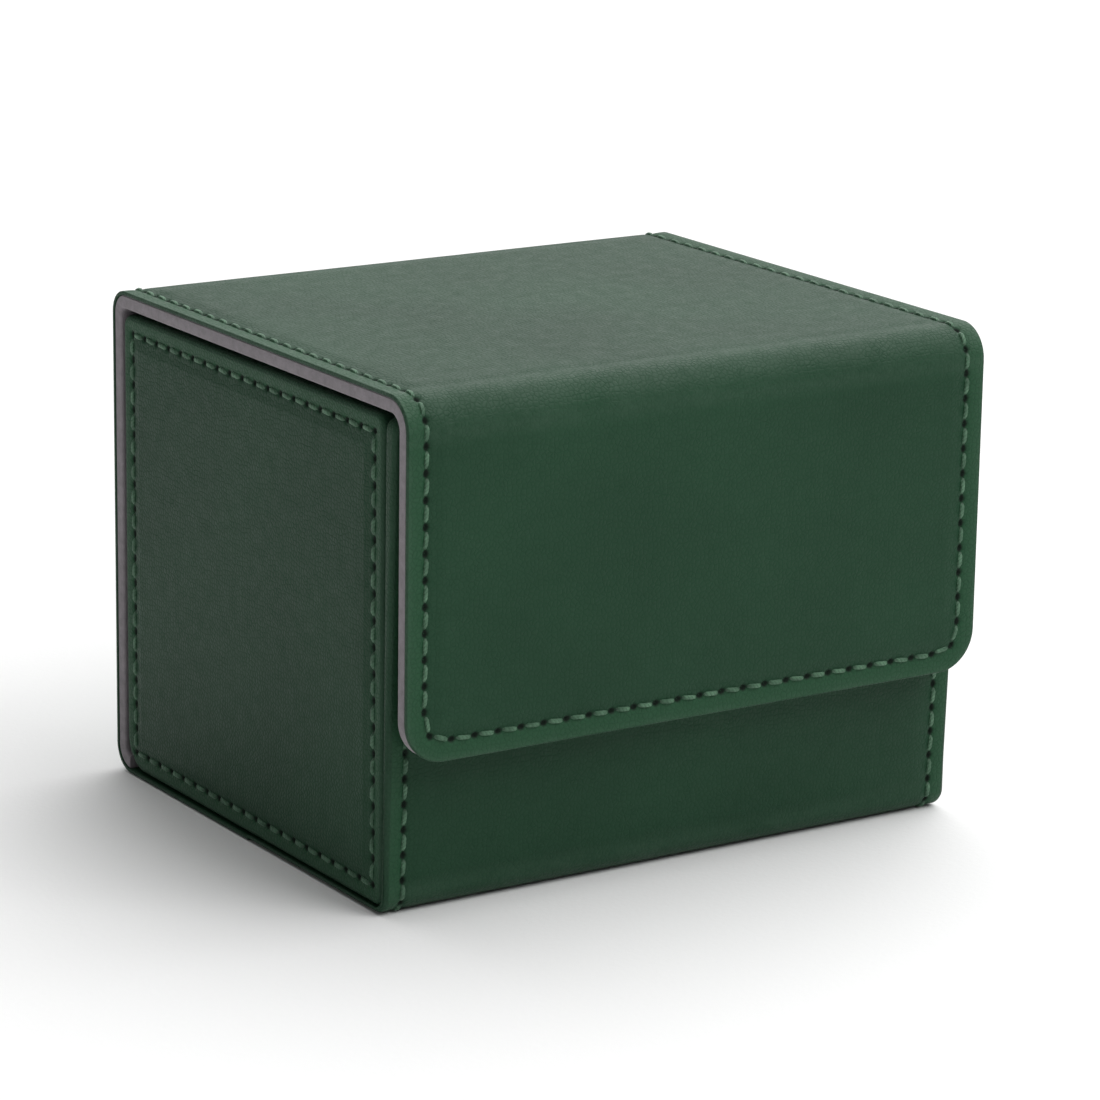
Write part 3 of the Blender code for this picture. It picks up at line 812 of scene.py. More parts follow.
def make_sewn_lining(name, boards, first, last, sizes, row, material):
    """Lining as wide as the strip, with the row sewn in, up to a seam or to the flap's corners."""
    at_end = last == STRIP_END
    half = HALF_WIDTH - sizes.lining_inset
    corner = FLAP_CORNER_RADIUS - sizes.lining_inset if at_end else 0
    if at_end:
        last = last - sizes.lining_inset
    outline = Outline((-half, first), (half, last), (0, 0, corner, corner), (1, 1, 0, at_end))
    boxes = strip_pockets(boards)
    margin = row_lines(ROW_INSET, CUT_REACH, sizes.nap_round, [corner] if at_end else [])
    spaced = hole_lines(row.holes[:, 0], sizes) if at_end else np.arange(-half, half, 3 * MM)
    across = np.concatenate([spaced, pocket_lines(boxes, 0)])
    along = np.concatenate([sewn_lines(row, first, last, sizes), pocket_lines(boxes, 1)])
    lines_u = grid_lines(-half, half, margin, margin, across)
    lines_s = grid_lines(first, last, [0.0], margin if at_end else [0.0], along)
    lines = (lines_u, lines_s)
    return lining_sheet(name, outline, lines, boxes, sizes, material, row=row)


def make_side_lining(side, word, sizes, material):
    """Inner face of a side panel, set in from its turned edges."""
    outline = side_outline(sizes.side_hem + 0.1 * MM)
    board_low, board_high = span(f"{word}_side_board")
    boxes = [(board_low[1:] - 0.4 * MM, board_high[1:] + 0.4 * MM)]
    margin = [sizes.nap_round, 0.8 * MM, 1.4 * MM, outline.radii[1]]
    lines = []
    for k in (0, 1):
        low, high = outline.low[k], outline.high[k]
        between = np.concatenate([np.arange(low, high, 3 * MM), pocket_lines(boxes, k)])
        lines.append(grid_lines(low, high, margin, margin, between))
    bend = bend_side(side)
    return lining_sheet(f"lining_side_{word}", outline, lines, boxes, sizes, material, bend=bend)


# ------------------------------------------------------------------ stitches
def make_stitches(name, starts, ends, top, sizes, bend, material):
    """Thread from hole to hole, each stitch a short tube that dips into its two holes.

    Ring i lies at reach r from -1 to 1 along the stitch, its radius is full * (1 - 0.9 r^6)^(1/2),
    and its depth below the face is dip * r^4 - proud. top is +1 on an outer face and -1 on
    the lining. The lean and the thickness change a little from stitch to stitch.
    """
    count = len(starts)
    sides = 8
    reach = np.array([-1.0, -0.85, -0.5, 0.0, 0.5, 0.85, 1.0])
    t = 0.5 + 0.5 * sizes.thread_share * reach
    around = 2 * math.pi * np.arange(sides) / sides
    chord = ends - starts
    length = np.linalg.norm(chord, axis=-1, keepdims=True)
    ahead = chord / length
    aside = np.stack([-ahead[:, 1], ahead[:, 0]], axis=-1)
    index = np.arange(count)
    lean = sizes.stitch_lean * (1 + 0.25 * np.sin(2.4 * index))
    fat = 1 + 0.05 * np.sin(3.7 * index + 1)
    radius = sizes.thread_radius * np.sqrt(1 - np.abs(reach) ** 6 * 0.9)
    sunk = sizes.thread_dip * reach**4
    middle = starts[:, None] + t[None, :, None] * chord[:, None]
    middle = middle + (reach[None, :] * lean[:, None])[..., None] * aside[:, None]
    wide = radius[None, :, None] * fat[:, None, None] * np.cos(around)
    tall = radius[None, :, None] * fat[:, None, None] * 0.85 * np.sin(around)
    flat = middle[:, :, None, :] + wide[..., None] * aside[:, None, None, :]
    face, proud = (0.0, sizes.thread_proud) if top > 0 else (COVER, 0.0)
    height = tall + proud - sunk[None, :, None]
    depth = face + top * (sizes.margin_step + sizes.groove_depth - height)
    points = bend(flat[..., 0].ravel(), flat[..., 1].ravel(), depth.ravel())

    rings = len(t)
    grid = np.arange(rings * sides).reshape(rings, sides)
    turned = np.roll(grid, -1, axis=1)
    tube = np.stack([grid[:-1], turned[:-1], turned[1:], grid[1:]], axis=-1).reshape(-1, 4)
    cap = np.array([[0, 3, 2, 1], [0, 7, 4, 3], [4, 7, 6, 5]])
    shape = np.concatenate([tube, cap, cap[:, ::-1] + (rings - 1) * sides])
    quads = (shape[None] + (index * rings * sides)[:, None, None]).reshape(-1, 4)

    ring, place = np.divmod(shape, sides)
    closes = (place == 0) & (place.max(axis=1, keepdims=True) == sides - 1)
    turn_share = np.where(closes, sides, place) / sides
    one_uv = np.stack([t[ring], turn_share], axis=-1).reshape(1, -1, 2)
    uv = (one_uv + index[:, None, None] * np.array([1.0, 0.0])).reshape(-1, 2)
    masks = {"sunk": np.broadcast_to(np.abs(reach)[None, :, None] ** 4, flat.shape[:3]).ravel()}
    return make_piece(name, points, quads, uv, masks, material)


def stitch_ends(row, closed=False):
    """The holes where each stitch starts and ends."""
    following = np.roll(row.holes, -1, axis=0)
    if closed:
        return row.holes, following
    return row.holes[:-1], following[:-1]


# ------------------------------------------------------------------ materials
def colour4(colour):
    """A colour with full opacity."""
    return (*colour, 1.0)


class Nodes:
    """Adds nodes to a tree. An input given as a socket is linked, any other value is set."""

    def __init__(self, tree):
        self.tree = tree

    def fill(self, sockets, values):
        """Links or sets each named socket."""
        for key, value in values.items():
            if isinstance(value, bpy.types.NodeSocket):
                self.tree.links.new(value, sockets[key])
            else:
                sockets[key].default_value = value

    def add(self, kind, inputs=None, **settings):
        """A new node with its settings and inputs."""
        node = self.tree.nodes.new(kind)
        for name, value in settings.items():
            setattr(node, name, value)
        self.fill(node.inputs, inputs or {})
        return node

    def math(self, operation, one, two=0.0, clamp=False):
        """One operation on two values."""
        inputs = {0: one, 1: two}
        return self.add("ShaderNodeMath", inputs, operation=operation, use_clamp=clamp).outputs[0]

    def times(self, one, two, clamp=False):
        """one * two"""
        return self.math("MULTIPLY", one, two, clamp)

    def plus(self, one, two, clamp=False):
        """one + two"""
        return self.math("ADD", one, two, clamp)

    def minus(self, one, two, clamp=False):
        """one - two"""
        return self.math("SUBTRACT", one, two, clamp)

    def layers(self, colour, *coats):
        """(share, colour) coats mixed over a first colour, one after the other."""
        colour = colour4(colour)
        for share, coat in coats:
            inputs = {0: share, 6: colour, 7: colour4(coat)}
            colour = self.add("ShaderNodeMix", inputs, data_type="RGBA").outputs[2]
        return colour

    def spread(self, value, low, high, to_low=0.0, to_high=1.0):
        """A value's range from low to high, spread over to_low to to_high."""
        ends = {"From Min": low, "From Max": high, "To Min": to_low, "To Max": to_high}
        return self.add("ShaderNodeMapRange", {"Value": value, **ends}).outputs[0]

    def noise(self, vector, scale, detail=3.0, rough=0.5):
        """Fractal noise about 0.5."""
        inputs = {"Vector": vector, "Scale": scale, "Detail": detail, "Roughness": rough}
        return self.add("ShaderNodeTexNoise", inputs).outputs[0]

    def attribute(self, name):
        """One of the masks stored on the mesh."""
        return self.add("ShaderNodeAttribute", attribute_name=name).outputs["Fac"]

    def cut(self):
        """Place on the flat cut piece, in metres."""
        return self.add("ShaderNodeUVMap", uv_map="Cut").outputs[0]

    def place(self):
        """Place in the object's own space."""
        return self.add("ShaderNodeTexCoord").outputs["Object"]

    def bump(self, height, distance, strength=1.0):
        """Normal of a height field."""
        inputs = {"Height": height, "Distance": distance, "Strength": strength}
        return self.add("ShaderNodeBump", inputs).outputs[0]


def new_group(name, inputs, outputs):
    """An empty node group: its helper, its given values and the sockets of what it makes."""
    tree = bpy.data.node_groups.new(name, "ShaderNodeTree")
    for label, default in inputs:
        kind = "NodeSocketVector" if default is None else "NodeSocketFloat"
        socket = tree.interface.new_socket(label, in_out="INPUT", socket_type=kind)
        if default is not None:
            socket.default_value = default
    for label in outputs:
        tree.interface.new_socket(label, in_out="OUTPUT", socket_type="NodeSocketFloat")
    nodes = Nodes(tree)
    return nodes, nodes.add("NodeGroupInput").outputs, nodes.add("NodeGroupOutput").inputs


def grain_group(name):
    """Pebbled grain: cells with creases between, uneven in size, and fine pores.

    Height = pebble * (1 + (size - 1) * unevenness) + 0.22 * pores. Crease = 1 - pebble.
    """
    inputs = [("Vector", None), ("Cells", 1100.0), ("Unevenness", 0.35)]
    nodes, given, made = new_group(name, inputs, ["Height", "Crease"])
    vector = given["Vector"]
    warp = nodes.times(nodes.minus(nodes.noise(vector, 420.0, 2.0), 0.5), 0.0006)
    shift = nodes.add("ShaderNodeCombineXYZ", {0: warp}).outputs[0]
    bent = nodes.add("ShaderNodeVectorMath", {0: vector, 1: shift}, operation="ADD").outputs[0]
    cells = nodes.add(
        "ShaderNodeTexVoronoi", {"Vector": bent, "Scale": given["Cells"], "Randomness": 0.9},
        voronoi_dimensions="2D", feature="DISTANCE_TO_EDGE",
    ).outputs[0]
    pebble = nodes.math("POWER", nodes.spread(cells, 0.0, 0.28), 0.6)
    size = nodes.spread(nodes.noise(vector, 260.0, 2.0), 0.3, 0.7)
    uneven = nodes.plus(1.0, nodes.times(nodes.minus(size, 1.0), given["Unevenness"]))
    pores = nodes.noise(vector, 5200.0, 2.0, 0.7)
    height = nodes.plus(nodes.times(pebble, uneven), nodes.times(pores, 0.22))
    nodes.fill(made, {"Height": height, "Crease": nodes.minus(1.0, pebble, clamp=True)})


def rubbed_edge_highlight_group(name):
    """Rubbed edges with a painted highlight: the edge mask times the mean of two sizes of noise, times the
    amount.
    """
    inputs = [("Vector", None), ("Edge", 0.0), ("Amount", 0.6)]
    nodes, given, made = new_group(name, inputs, ["Rubbed And Lit"])
    broad = nodes.spread(nodes.noise(given["Vector"], 90.0, 3.0, 0.6), 0.35, 0.7)
    fine = nodes.spread(nodes.noise(given["Vector"], 900.0, 3.0, 0.7), 0.3, 0.7)
    broken = nodes.times(nodes.plus(broad, fine), 0.5)
    rub_highlight = nodes.times(nodes.times(given["Edge"], broken), given["Amount"], clamp=True)
    nodes.fill(made, {"Rubbed And Lit": rub_highlight})


def tone_group(name):
    """Slow drift of tone over a surface, and a mottle 14 times finer."""
    inputs = [("Vector", None), ("Size", 30.0)]
    nodes, given, made = new_group(name, inputs, ["Drift", "Mottle"])
    drift = nodes.noise(given["Vector"], given["Size"], 2.0)
    mottle = nodes.noise(given["Vector"], nodes.times(given["Size"], 14.0), 4.0, 0.65)
    for label, noise in (("Drift", drift), ("Mottle", mottle)):
        nodes.fill(made, {label: nodes.spread(noise, 0.3, 0.7)})


def nap_group(name):
    """Short brushed fibres, in tufts: height = 0.7 * noise stretched one way + 0.5 * tuft."""
    inputs = [("Vector", None), ("Fibres", 2600.0)]
    nodes, given, made = new_group(name, inputs, ["Height", "Tuft"])
    stretch = {"Vector": given["Vector"], "Scale": (1.0, 0.45, 1.0)}
    stretched = nodes.add("ShaderNodeMapping", stretch).outputs[0]
    fibre = nodes.noise(stretched, given["Fibres"], 4.0, 0.75)
    tuft = nodes.spread(nodes.noise(given["Vector"], 620.0, 3.0, 0.6), 0.25, 0.75)
    height = nodes.plus(nodes.times(fibre, 0.7), nodes.times(tuft, 0.5))
    nodes.fill(made, {"Height": height, "Tuft": tuft})


def twist_group(name):
    """Twisted yarn: ridge = |sin(pi * (turns * along + 2 * around))|, valley = (1 - ridge)^2."""
    nodes, given, made = new_group(name, [("Vector", None), ("Turns", 5.0)], ["Height", "Valley"])
    parts = nodes.add("ShaderNodeSeparateXYZ", {0: given["Vector"]}).outputs
    turned = nodes.plus(nodes.times(parts[0], given["Turns"]), nodes.times(parts[1], 2.0))
    ridge = nodes.math("ABSOLUTE", nodes.math("SINE", nodes.times(turned, math.pi)))
    valley = nodes.math("POWER", nodes.minus(1.0, ridge), 2.0)
    nodes.fill(made, {"Height": ridge, "Valley": valley})


GROUP_MAKERS = {
    "Pebble Grain": grain_group,
    "Edge Wear": rubbed_edge_highlight_group,
    "Tone Drift": tone_group,
    "Brushed Nap": nap_group,
    "Yarn Twist": twist_group,
}


def place_group(nodes, name, inputs):
    """Places a shared node group, made the first time, with a material's own values."""
    if name not in bpy.data.node_groups:
        GROUP_MAKERS[name](name)
    node = nodes.add("ShaderNodeGroup", node_tree=bpy.data.node_groups[name])
    nodes.fill(node.inputs, inputs)
    return node.outputs


def green_leather(nodes, shader, finish):
    """Satin pebbled leather: drifting tone, lighter margins, painted shade in the grain's creases and
    stitch holes, and rubbed edges with a painted highlight on edges and folds.

    Roughness = its mean, with mottle, + 0.14 * crease - 0.08 * edge mask + 0.3 * hole.
    """
    cut, hole = nodes.cut(), nodes.attribute("hole")
    grain = place_group(nodes, "Pebble Grain", {"Vector": cut, "Cells": 1250.0, "Unevenness": 0.4})
    tone = place_group(nodes, "Tone Drift", {"Vector": cut, "Size": 28.0})
    rubbed = {"Vector": cut, "Edge": nodes.attribute("rub_highlight"), "Amount": 0.75}
    rub_highlight = place_group(nodes, "Edge Wear", rubbed)["Rubbed And Lit"]
    colour = nodes.layers(
        finish.leather_deep,
        (tone["Drift"], finish.leather_light),
        (nodes.times(tone["Mottle"], 0.25), finish.leather_deep),
        (nodes.times(nodes.attribute("margin"), 0.55), finish.leather_margin),
        # Painted shade in the grain's creases.
        (nodes.times(grain["Crease"], 0.3), finish.leather_deep),
        # Rubbed edges and folds: partly wear, partly a painted highlight.
        (rub_highlight, finish.leather_rubbed_and_lit),
        # Painted shade inside the stitch holes.
        (nodes.spread(hole, 0.15, 0.55), finish.hole),
    )
    mean = finish.leather_rough
    rough = nodes.spread(tone["Mottle"], 0.0, 1.0, mean - 0.05, mean + 0.06)
    rough = nodes.plus(rough, nodes.times(grain["Crease"], 0.14))
    rough = nodes.minus(rough, nodes.times(rub_highlight, 0.08))
    rough = nodes.plus(rough, nodes.times(hole, 0.3), clamp=True)
    normal = nodes.bump(grain["Height"], 0.00008, 0.75)
    values = {"Base Color": colour, "Roughness": rough, "Normal": normal}
    nodes.fill(shader, {**values, "Specular IOR Level": 0.18})


def grey_lining(nodes, shader, finish):
    """Matt microfibre: brushed nap, soft tufts and a paler edge, partly rubbed wear and partly a painted
    highlight.
    """
    cut = nodes.cut()
    nap = place_group(nodes, "Brushed Nap", {"Vector": cut, "Fibres": 2800.0})
    tone = place_group(nodes, "Tone Drift", {"Vector": cut, "Size": 40.0})
    rubbed = {"Vector": cut, "Edge": nodes.attribute("rub_highlight"), "Amount": 0.5}
    rub_highlight = place_group(nodes, "Edge Wear", rubbed)["Rubbed And Lit"]
    colour = nodes.layers(
        finish.lining_deep,
        (nap["Tuft"], finish.lining_light),
        (nodes.times(tone["Drift"], 0.3), finish.lining_deep),
        # Paler edge: partly rubbed wear, partly a painted highlight.
        (nodes.times(rub_highlight, 0.4), finish.lining_light),
    )
    rough = nodes.spread(tone["Mottle"], 0.0, 1.0, 0.84, 0.96)
    normal = nodes.bump(nap["Height"], 0.00012, 0.7)
    nodes.fill(shader, {"Base Color": colour, "Roughness": rough, "Normal": normal})
    sheen = {"Sheen Weight": 0.25, "Sheen Roughness": 0.5}
    nodes.fill(shader, {"Specular IOR Level": 0.2, **sheen})


def green_thread(nodes, shader, finish):
    """Polyester thread: twisted ridges, with painted shade in the twist and where it goes down into its
    holes.
    """
    cut = nodes.cut()
    twist = place_group(nodes, "Yarn Twist", {"Vector": cut, "Turns": 6.0})
    tone = place_group(nodes, "Tone Drift", {"Vector": cut, "Size": 1.7})
    colour = nodes.layers(
        finish.thread_deep,
        (tone["Drift"], finish.thread_light),
        # Painted shade in the twist's valleys.
        (nodes.times(twist["Valley"], 0.6), finish.thread_deep),
        # Painted shade where the thread goes down into its holes.
        (nodes.spread(nodes.attribute("sunk"), 0.25, 0.9), finish.hole),
    )
    rough = nodes.spread(tone["Mottle"], 0.0, 1.0, 0.5, 0.62)
    normal = nodes.bump(twist["Height"], 0.00008, 0.8)
    values = {"Base Color": colour, "Roughness": rough, "Normal": normal}
    nodes.fill(shader, {**values, "Specular IOR Level": 0.4})


def grey_board(nodes, shader, finish):
    """Grey chipboard: flecks of pulp and a faintly uneven surface."""
    place = nodes.place()
    tone = place_group(nodes, "Tone Drift", {"Vector": place, "Size": 60.0})
    fleck = nodes.spread(nodes.noise(place, 1500.0, 4.0, 0.7), 0.55, 0.75)
    colour = nodes.layers(
        finish.board_deep,
        (tone["Mottle"], finish.board_light),
        (nodes.times(fleck, 0.5), finish.board_deep),
    )
    rough = nodes.spread(tone["Drift"], 0.0, 1.0, 0.82, 0.93)
    normal = nodes.bump(nodes.noise(place, 2200.0, 4.0, 0.7), 0.00005)
    nodes.fill(shader, {"Base Color": colour, "Roughness": rough, "Normal": normal})


def nickel_magnet(nodes, shader, finish):
    """Nickel plating: fine lapping marks and a few dull spots."""
    place = nodes.place()
    tone = place_group(nodes, "Tone Drift", {"Vector": place, "Size": 120.0})
    stretch = {"Vector": place, "Scale": (1.0, 1.0, 14.0)}
    lapped = nodes.noise(nodes.add("ShaderNodeMapping", stretch).outputs[0], 900.0, 3.0, 0.6)
    colour = nodes.layers(finish.magnet, (tone["Drift"], finish.magnet_dull))
    rough = nodes.spread(lapped, 0.3, 0.7, 0.22, 0.42)
    normal = nodes.bump(lapped, 0.00001, 0.5)
    values = {"Base Color": colour, "Roughness": rough, "Normal": normal}
    nodes.fill(shader, {**values, "Metallic": 1.0})


def studio_paper(nodes, shader, finish):
    """Pale seamless paper with a faint tooth, drifting up to 0.9 % darker."""
    place = nodes.place()
    tone = place_group(nodes, "Tone Drift", {"Vector": place, "Size": 2.0})
    dim = [0.97 * part for part in finish.floor]
    colour = nodes.layers(finish.floor, (nodes.times(tone["Drift"], 0.3), dim))
    normal = nodes.bump(nodes.noise(place, 900.0, 3.0, 0.6), 0.00005)
    values = {"Base Color": colour, "Roughness": 0.9, "Normal": normal}
    nodes.fill(shader, {**values, "Specular IOR Level": 0.15})


def get_material(build, context):
    """The material that a function builds, under that function's name, made the first time."""
    material = bpy.data.materials.get(build.__name__)
    if material is None:
        material = bpy.data.materials.new(build.__name__)
        material.use_nodes = True
        shader = material.node_tree.nodes["Principled BSDF"]
        build(Nodes(material.node_tree), shader.inputs, context.scene.deck_box_finish)
    return material


# ------------------------------------------------------------------ settings
def length_setting(label, words, default):
    """A length in metres."""
    return FloatProperty(
        name=label, description=words, default=default, unit="LENGTH", precision=5
    )


def colour_setting(label, words, default):
    """A linear colour."""
    return FloatVectorProperty(
        name=label, description=words, default=default, subtype="COLOR", size=3, min=0, max=1
    )


def share_setting(label, words, default):
    """A number from 0 to 1."""
    return FloatProperty(
        name=label, description=words, default=default, subtype="FACTOR", min=0, max=1
    )


def angle_setting(label, words, degrees):
    """An angle, given in degrees and kept in radians."""
    angle = math.radians(degrees)
    return FloatProperty(name=label, description=words, default=angle, subtype="ANGLE")


def number_setting(label, words, default, unit="NONE"):
    """Any other number, with its unit."""
    return FloatProperty(name=label, description=words, default=default, unit=unit)


class DeckBoxSizes(PropertyGroup):
    """Thicknesses, hems and stitches"""

    leather: length_setting("Leather", "Thickness of the leather", 0.0008)
    cut_round: length_setting("Cut edge round", "Radius on the edge of cut leather", 0.00028)
    turn_round: length_setting("Turned edge round", "Radius where leather turns round an edge", 0.0009)
    hem_head: length_setting("Head hem depth", "Depth of the front panel's hem at its head", 0.00266)
    hem_foot: length_setting("Foot hem depth", "Depth of the front panel's hem at its foot", 0.00095)
    side_hem: length_setting("Side hem", "Turned leather left showing inside a side panel", 0.0012)
    lining_inset: length_setting("Lining inset", "From the leather's edge to the lining's", 0.00012)
    nap_round: length_setting("Lining edge round", "Radius on the edge of the lining", 0.00040)
    pocket: length_setting("Pocket depth", "Depth below the leather's face of the boards' pockets", 0.00245)
    stitch: length_setting("Stitch", "Length of one stitch", 0.0040)
    thread_radius: length_setting("Thread radius", "Radius of the sewing thread", 0.00037)
    thread_proud: length_setting("Thread height", "Height of the thread's middle above its groove", 0.00006)
    thread_dip: length_setting("Thread dip", "How far a stitch's ends go down into its holes", 0.00055)
    stitch_lean: length_setting("Stitch lean", "Sideways offset of a stitch at its ends", 0.00013)
    hole_length: length_setting("Hole length", "Half length of a stitch hole", 0.00056)
    hole_width: length_setting("Hole width", "Half width of a stitch hole", 0.00042)
    hole_depth: length_setting("Hole depth", "Depth of the pit at a stitch hole", 0.00046)
    groove_width: length_setting("Groove width", "Half width of the groove that a row pulls in", 0.00085)
    groove_depth: length_setting("Groove depth", "Depth of the groove that a row pulls in", 0.00015)
    margin_step: length_setting("Margin step", "How far the margins lie below the boarded area", 0.00017)
    waviness: length_setting("Waviness", "Height of the leather's gentle unevenness", 0.00007)
    thread_share: share_setting("Thread share", "Thread's length over the stitch's", 0.72)


class DeckBoxFinish(PropertyGroup):
    """Colours and roughness"""

    leather_deep: colour_setting("Deep leather", "Leather in its darker areas", (0.0085, 0.040, 0.018))
    leather_light: colour_setting("Light leather", "Leather in its lighter areas", (0.0130, 0.054, 0.025))
    leather_margin: colour_setting("Margin leather", "Leather outside the stitches", (0.020, 0.082, 0.036))
    # Colour of rubbed edges and folds: partly wear, partly a painted highlight.
    leather_rubbed_and_lit: colour_setting("Rubbed leather", "Leather on rubbed edges", (0.070, 0.125, 0.085))
    hole: colour_setting("Stitch hole", "Shade inside the stitch holes", (0.002, 0.008, 0.004))
    leather_rough: share_setting("Leather roughness", "Mean roughness of the leather", 0.50)
    lining_deep: colour_setting("Deep lining", "Lining between its tufts", (0.165, 0.150, 0.162))
    lining_light: colour_setting("Light lining", "Lining on its tufts", (0.275, 0.250, 0.268))
    thread_deep: colour_setting("Deep thread", "Thread in its twist", (0.030, 0.085, 0.045))
    thread_light: colour_setting("Light thread", "Thread on its ridges", (0.095, 0.200, 0.120))
    board_deep: colour_setting("Deep board", "Board's darker fibres", (0.250, 0.235, 0.205))
    board_light: colour_setting("Light board", "Board's paler fibres", (0.420, 0.395, 0.350))
    magnet: colour_setting("Magnet", "Nickel plating", (0.660, 0.650, 0.620))
    magnet_dull: colour_setting("Dull magnet", "Nickel's duller spots", (0.52, 0.51, 0.48))
    floor: colour_setting("Floor", "Studio paper", (0.860, 0.860, 0.860))


class DeckBoxStage(PropertyGroup):
    """Camera and lights"""

    azimuth: angle_setting("Azimuth", "Camera's turn from the front", -33.01)
    elevation: angle_setting("Elevation", "Camera's height angle", 14.99)
    roll: angle_setting("Roll", "Camera's turn about its own axis", 0.88)
    distance: number_setting("Distance", "Camera to its target", 0.7142, "LENGTH")
    target: FloatVectorProperty(
        name="Target", description="Point at the middle of the view",
        default=(0.0069, 0.0075, 0.0377), subtype="TRANSLATION",
    )
    lens: number_setting("Lens", "Focal length in millimetres", 144.95, "CAMERA")
    sky_power: number_setting("Sky light", "Strength of the overhead light", 2.85)
    key_power: number_setting("Key light", "Power of the front light", 9.5, "POWER")
    back_power: number_setting("Back light", "Power of the light behind", 3.6, "POWER")
    backdrop: number_setting("Backdrop", "Brightness of the surroundings as seen", 0.95)
    world: number_setting("Surroundings", "Brightness of the surroundings", 0.2)


# ------------------------------------------------------------------ operators
def finish_piece(piece, nodes, body=None, bend=None):
    """Hides the frame nodes that the piece replaces. Without a bend it parents the piece to its body's
    empty; with one it only bakes the piece's transform, and the bend's contents and the body are not used.
    """
    if nodes:
        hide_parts(*nodes)
    if bend:
        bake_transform(piece)
    else:
        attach(piece, body)


def rear_bend():
    """Across the rear fold, from the top of the back to the rear edge of the lid."""
    start = (0, BODY_BACK, HEIGHT - REAR_RADIUS)
    return ("box", "lid", start, (0, BODY_BACK - REAR_RADIUS, HEIGHT))


def front_bend():
    """Across the front fold. It starts a little late, to clear the front panel's head."""
    first = np.array((0, FLAP_FRONT + FRONT_RADIUS, HEIGHT))
    across = np.array((0, FLAP_FRONT, HEIGHT - FRONT_RADIUS)) - first
    late, past = 0.3, 1.1
    return ("lid", "flap", tuple(first + late * across), tuple(first + past * across))


class DECKBOX_OT_strip_leather(Operator):
    """Cut, hem and fold the strip of leather that makes the front, bottom, back, lid and flap"""

    bl_idname = "deckbox.strip_leather"
    bl_label = "Strip Leather"

    def execute(self, context):
        sizes = context.scene.deck_box_sizes
        material = get_material(green_leather, context)
        row = strip_row(sizes.stitch)
        seams = strip_seams(row)
        front = make_front_leather(sizes, row, seams[0], material)
        finish_piece(front, ["body_skin"], body="box")
        back = make_cut_leather("leather_back_and_lid", *seams, sizes, row, material)
        finish_piece(back, ["rear_fold_skin", "lid_skin"], bend=rear_bend())
        ends = (seams[1], STRIP_END)
        flap = make_cut_leather("leather_lid_and_flap", *ends, sizes, row, material)
        finish_piece(flap, ["front_fold_skin", "flap_skin"], bend=front_bend())
        return {"FINISHED"}


class DECKBOX_OT_strip_lining(Operator):
    """Line the strip, between the side panels in front and over its full width behind"""

    bl_idname = "deckbox.strip_lining"
    bl_label = "Strip Lining"

    def execute(self, context):
        sizes = context.scene.deck_box_sizes
        material = get_material(grey_lining, context)
        row = strip_row(sizes.stitch)
        seam = strip_seams(row)[1]
        front = make_front_lining(sizes, material)
        finish_piece(front, ["body_lining"], body="box")
        name, boards, ends = "lining_back_and_lid", ("back", "lid"), (RUNS["bottom"][1], seam)
        back = make_sewn_lining(name, boards, *ends, sizes, row, material)
        finish_piece(back, ["rear_fold_lining", "lid_lining"], bend=rear_bend())
        name, boards, ends = "lining_lid_and_flap", ("lid", "flap"), (seam, STRIP_END)
        flap = make_sewn_lining(name, boards, *ends, sizes, row, material)
        finish_piece(flap, ["front_fold_lining", "flap_lining"], bend=front_bend())
        boards = ["bottom_board", "back_board"]
        return {"FINISHED"}


class DECKBOX_OT_strip_stitches(Operator):
    """Sew the strip's row on its outer face"""

    bl_idname = "deckbox.strip_stitches"
    bl_label = "Strip Stitches"

    def execute(self, context):
        sizes = context.scene.deck_box_sizes
        material = get_material(green_thread, context)
        row = strip_row(sizes.stitch)
        seams = strip_seams(row)
        starts, ends = stitch_ends(row)
        middle = (starts[:, 1] + ends[:, 1]) / 2
        parts = np.digitize(middle, [seams[0] - 0.1 * MM, seams[1] - 0.1 * MM])
        rows = (
            ("stitches_front", ["body_stitch_left", "body_stitch_right"], None),
            ("stitches_back_and_lid", ["lid_stitch_left", "lid_stitch_right"], rear_bend()),
            ("stitches_lid_and_flap", ["flap_stitch"], front_bend()),
        )
        for k, (name, nodes, bend) in enumerate(rows):
            chosen = parts == k
            piece = make_stitches(name, starts[chosen], ends[chosen], 1, sizes, bend_strip, material)
            finish_piece(piece, nodes, body="box", bend=bend)
        return {"FINISHED"}


class DECKBOX_OT_inner_stitches(Operator):
    """Sew the underside of the row, on the lining of the lid and flap"""

    bl_idname = "deckbox.inner_stitches"
    bl_label = "Inner Stitches"

    def execute(self, context):
        sizes = context.scene.deck_box_sizes
        material = get_material(green_thread, context)
        row = strip_row(sizes.stitch)
        starts, ends = stitch_ends(row)
        middle = (starts[:, 1] + ends[:, 1]) / 2
        first, seam = RUNS["rear_fold"][0], strip_seams(row)[1]
        rows = (
            ("stitches_under_lid", (middle > first) & (middle < seam), rear_bend()),
            ("stitches_under_flap", middle > seam, front_bend()),
        )
        for name, chosen, bend in rows:
            piece = make_stitches(name, starts[chosen], ends[chosen], -1, sizes, bend_strip, material)
            finish_piece(piece, [], bend=bend)
        return {"FINISHED"}


class DECKBOX_OT_side_panels(Operator):
    """Cover and line the two side panels"""

    bl_idname = "deckbox.side_panels"
    bl_label = "Side Panels"

    def execute(self, context):
        sizes = context.scene.deck_box_sizes
        leather, lined = get_material(green_leather, context), get_material(grey_lining, context)
        row = side_row(sizes.stitch)
        for side, word in ((-1, "left"), (1, "right")):
            skin = make_side_leather(side, word, sizes, row, leather)
            finish_piece(skin, [f"{word}_side_skin"], body="box")
            lining = make_side_lining(side, word, sizes, lined)
            finish_piece(lining, [f"{word}_side_lining"], body="box")
        return {"FINISHED"}


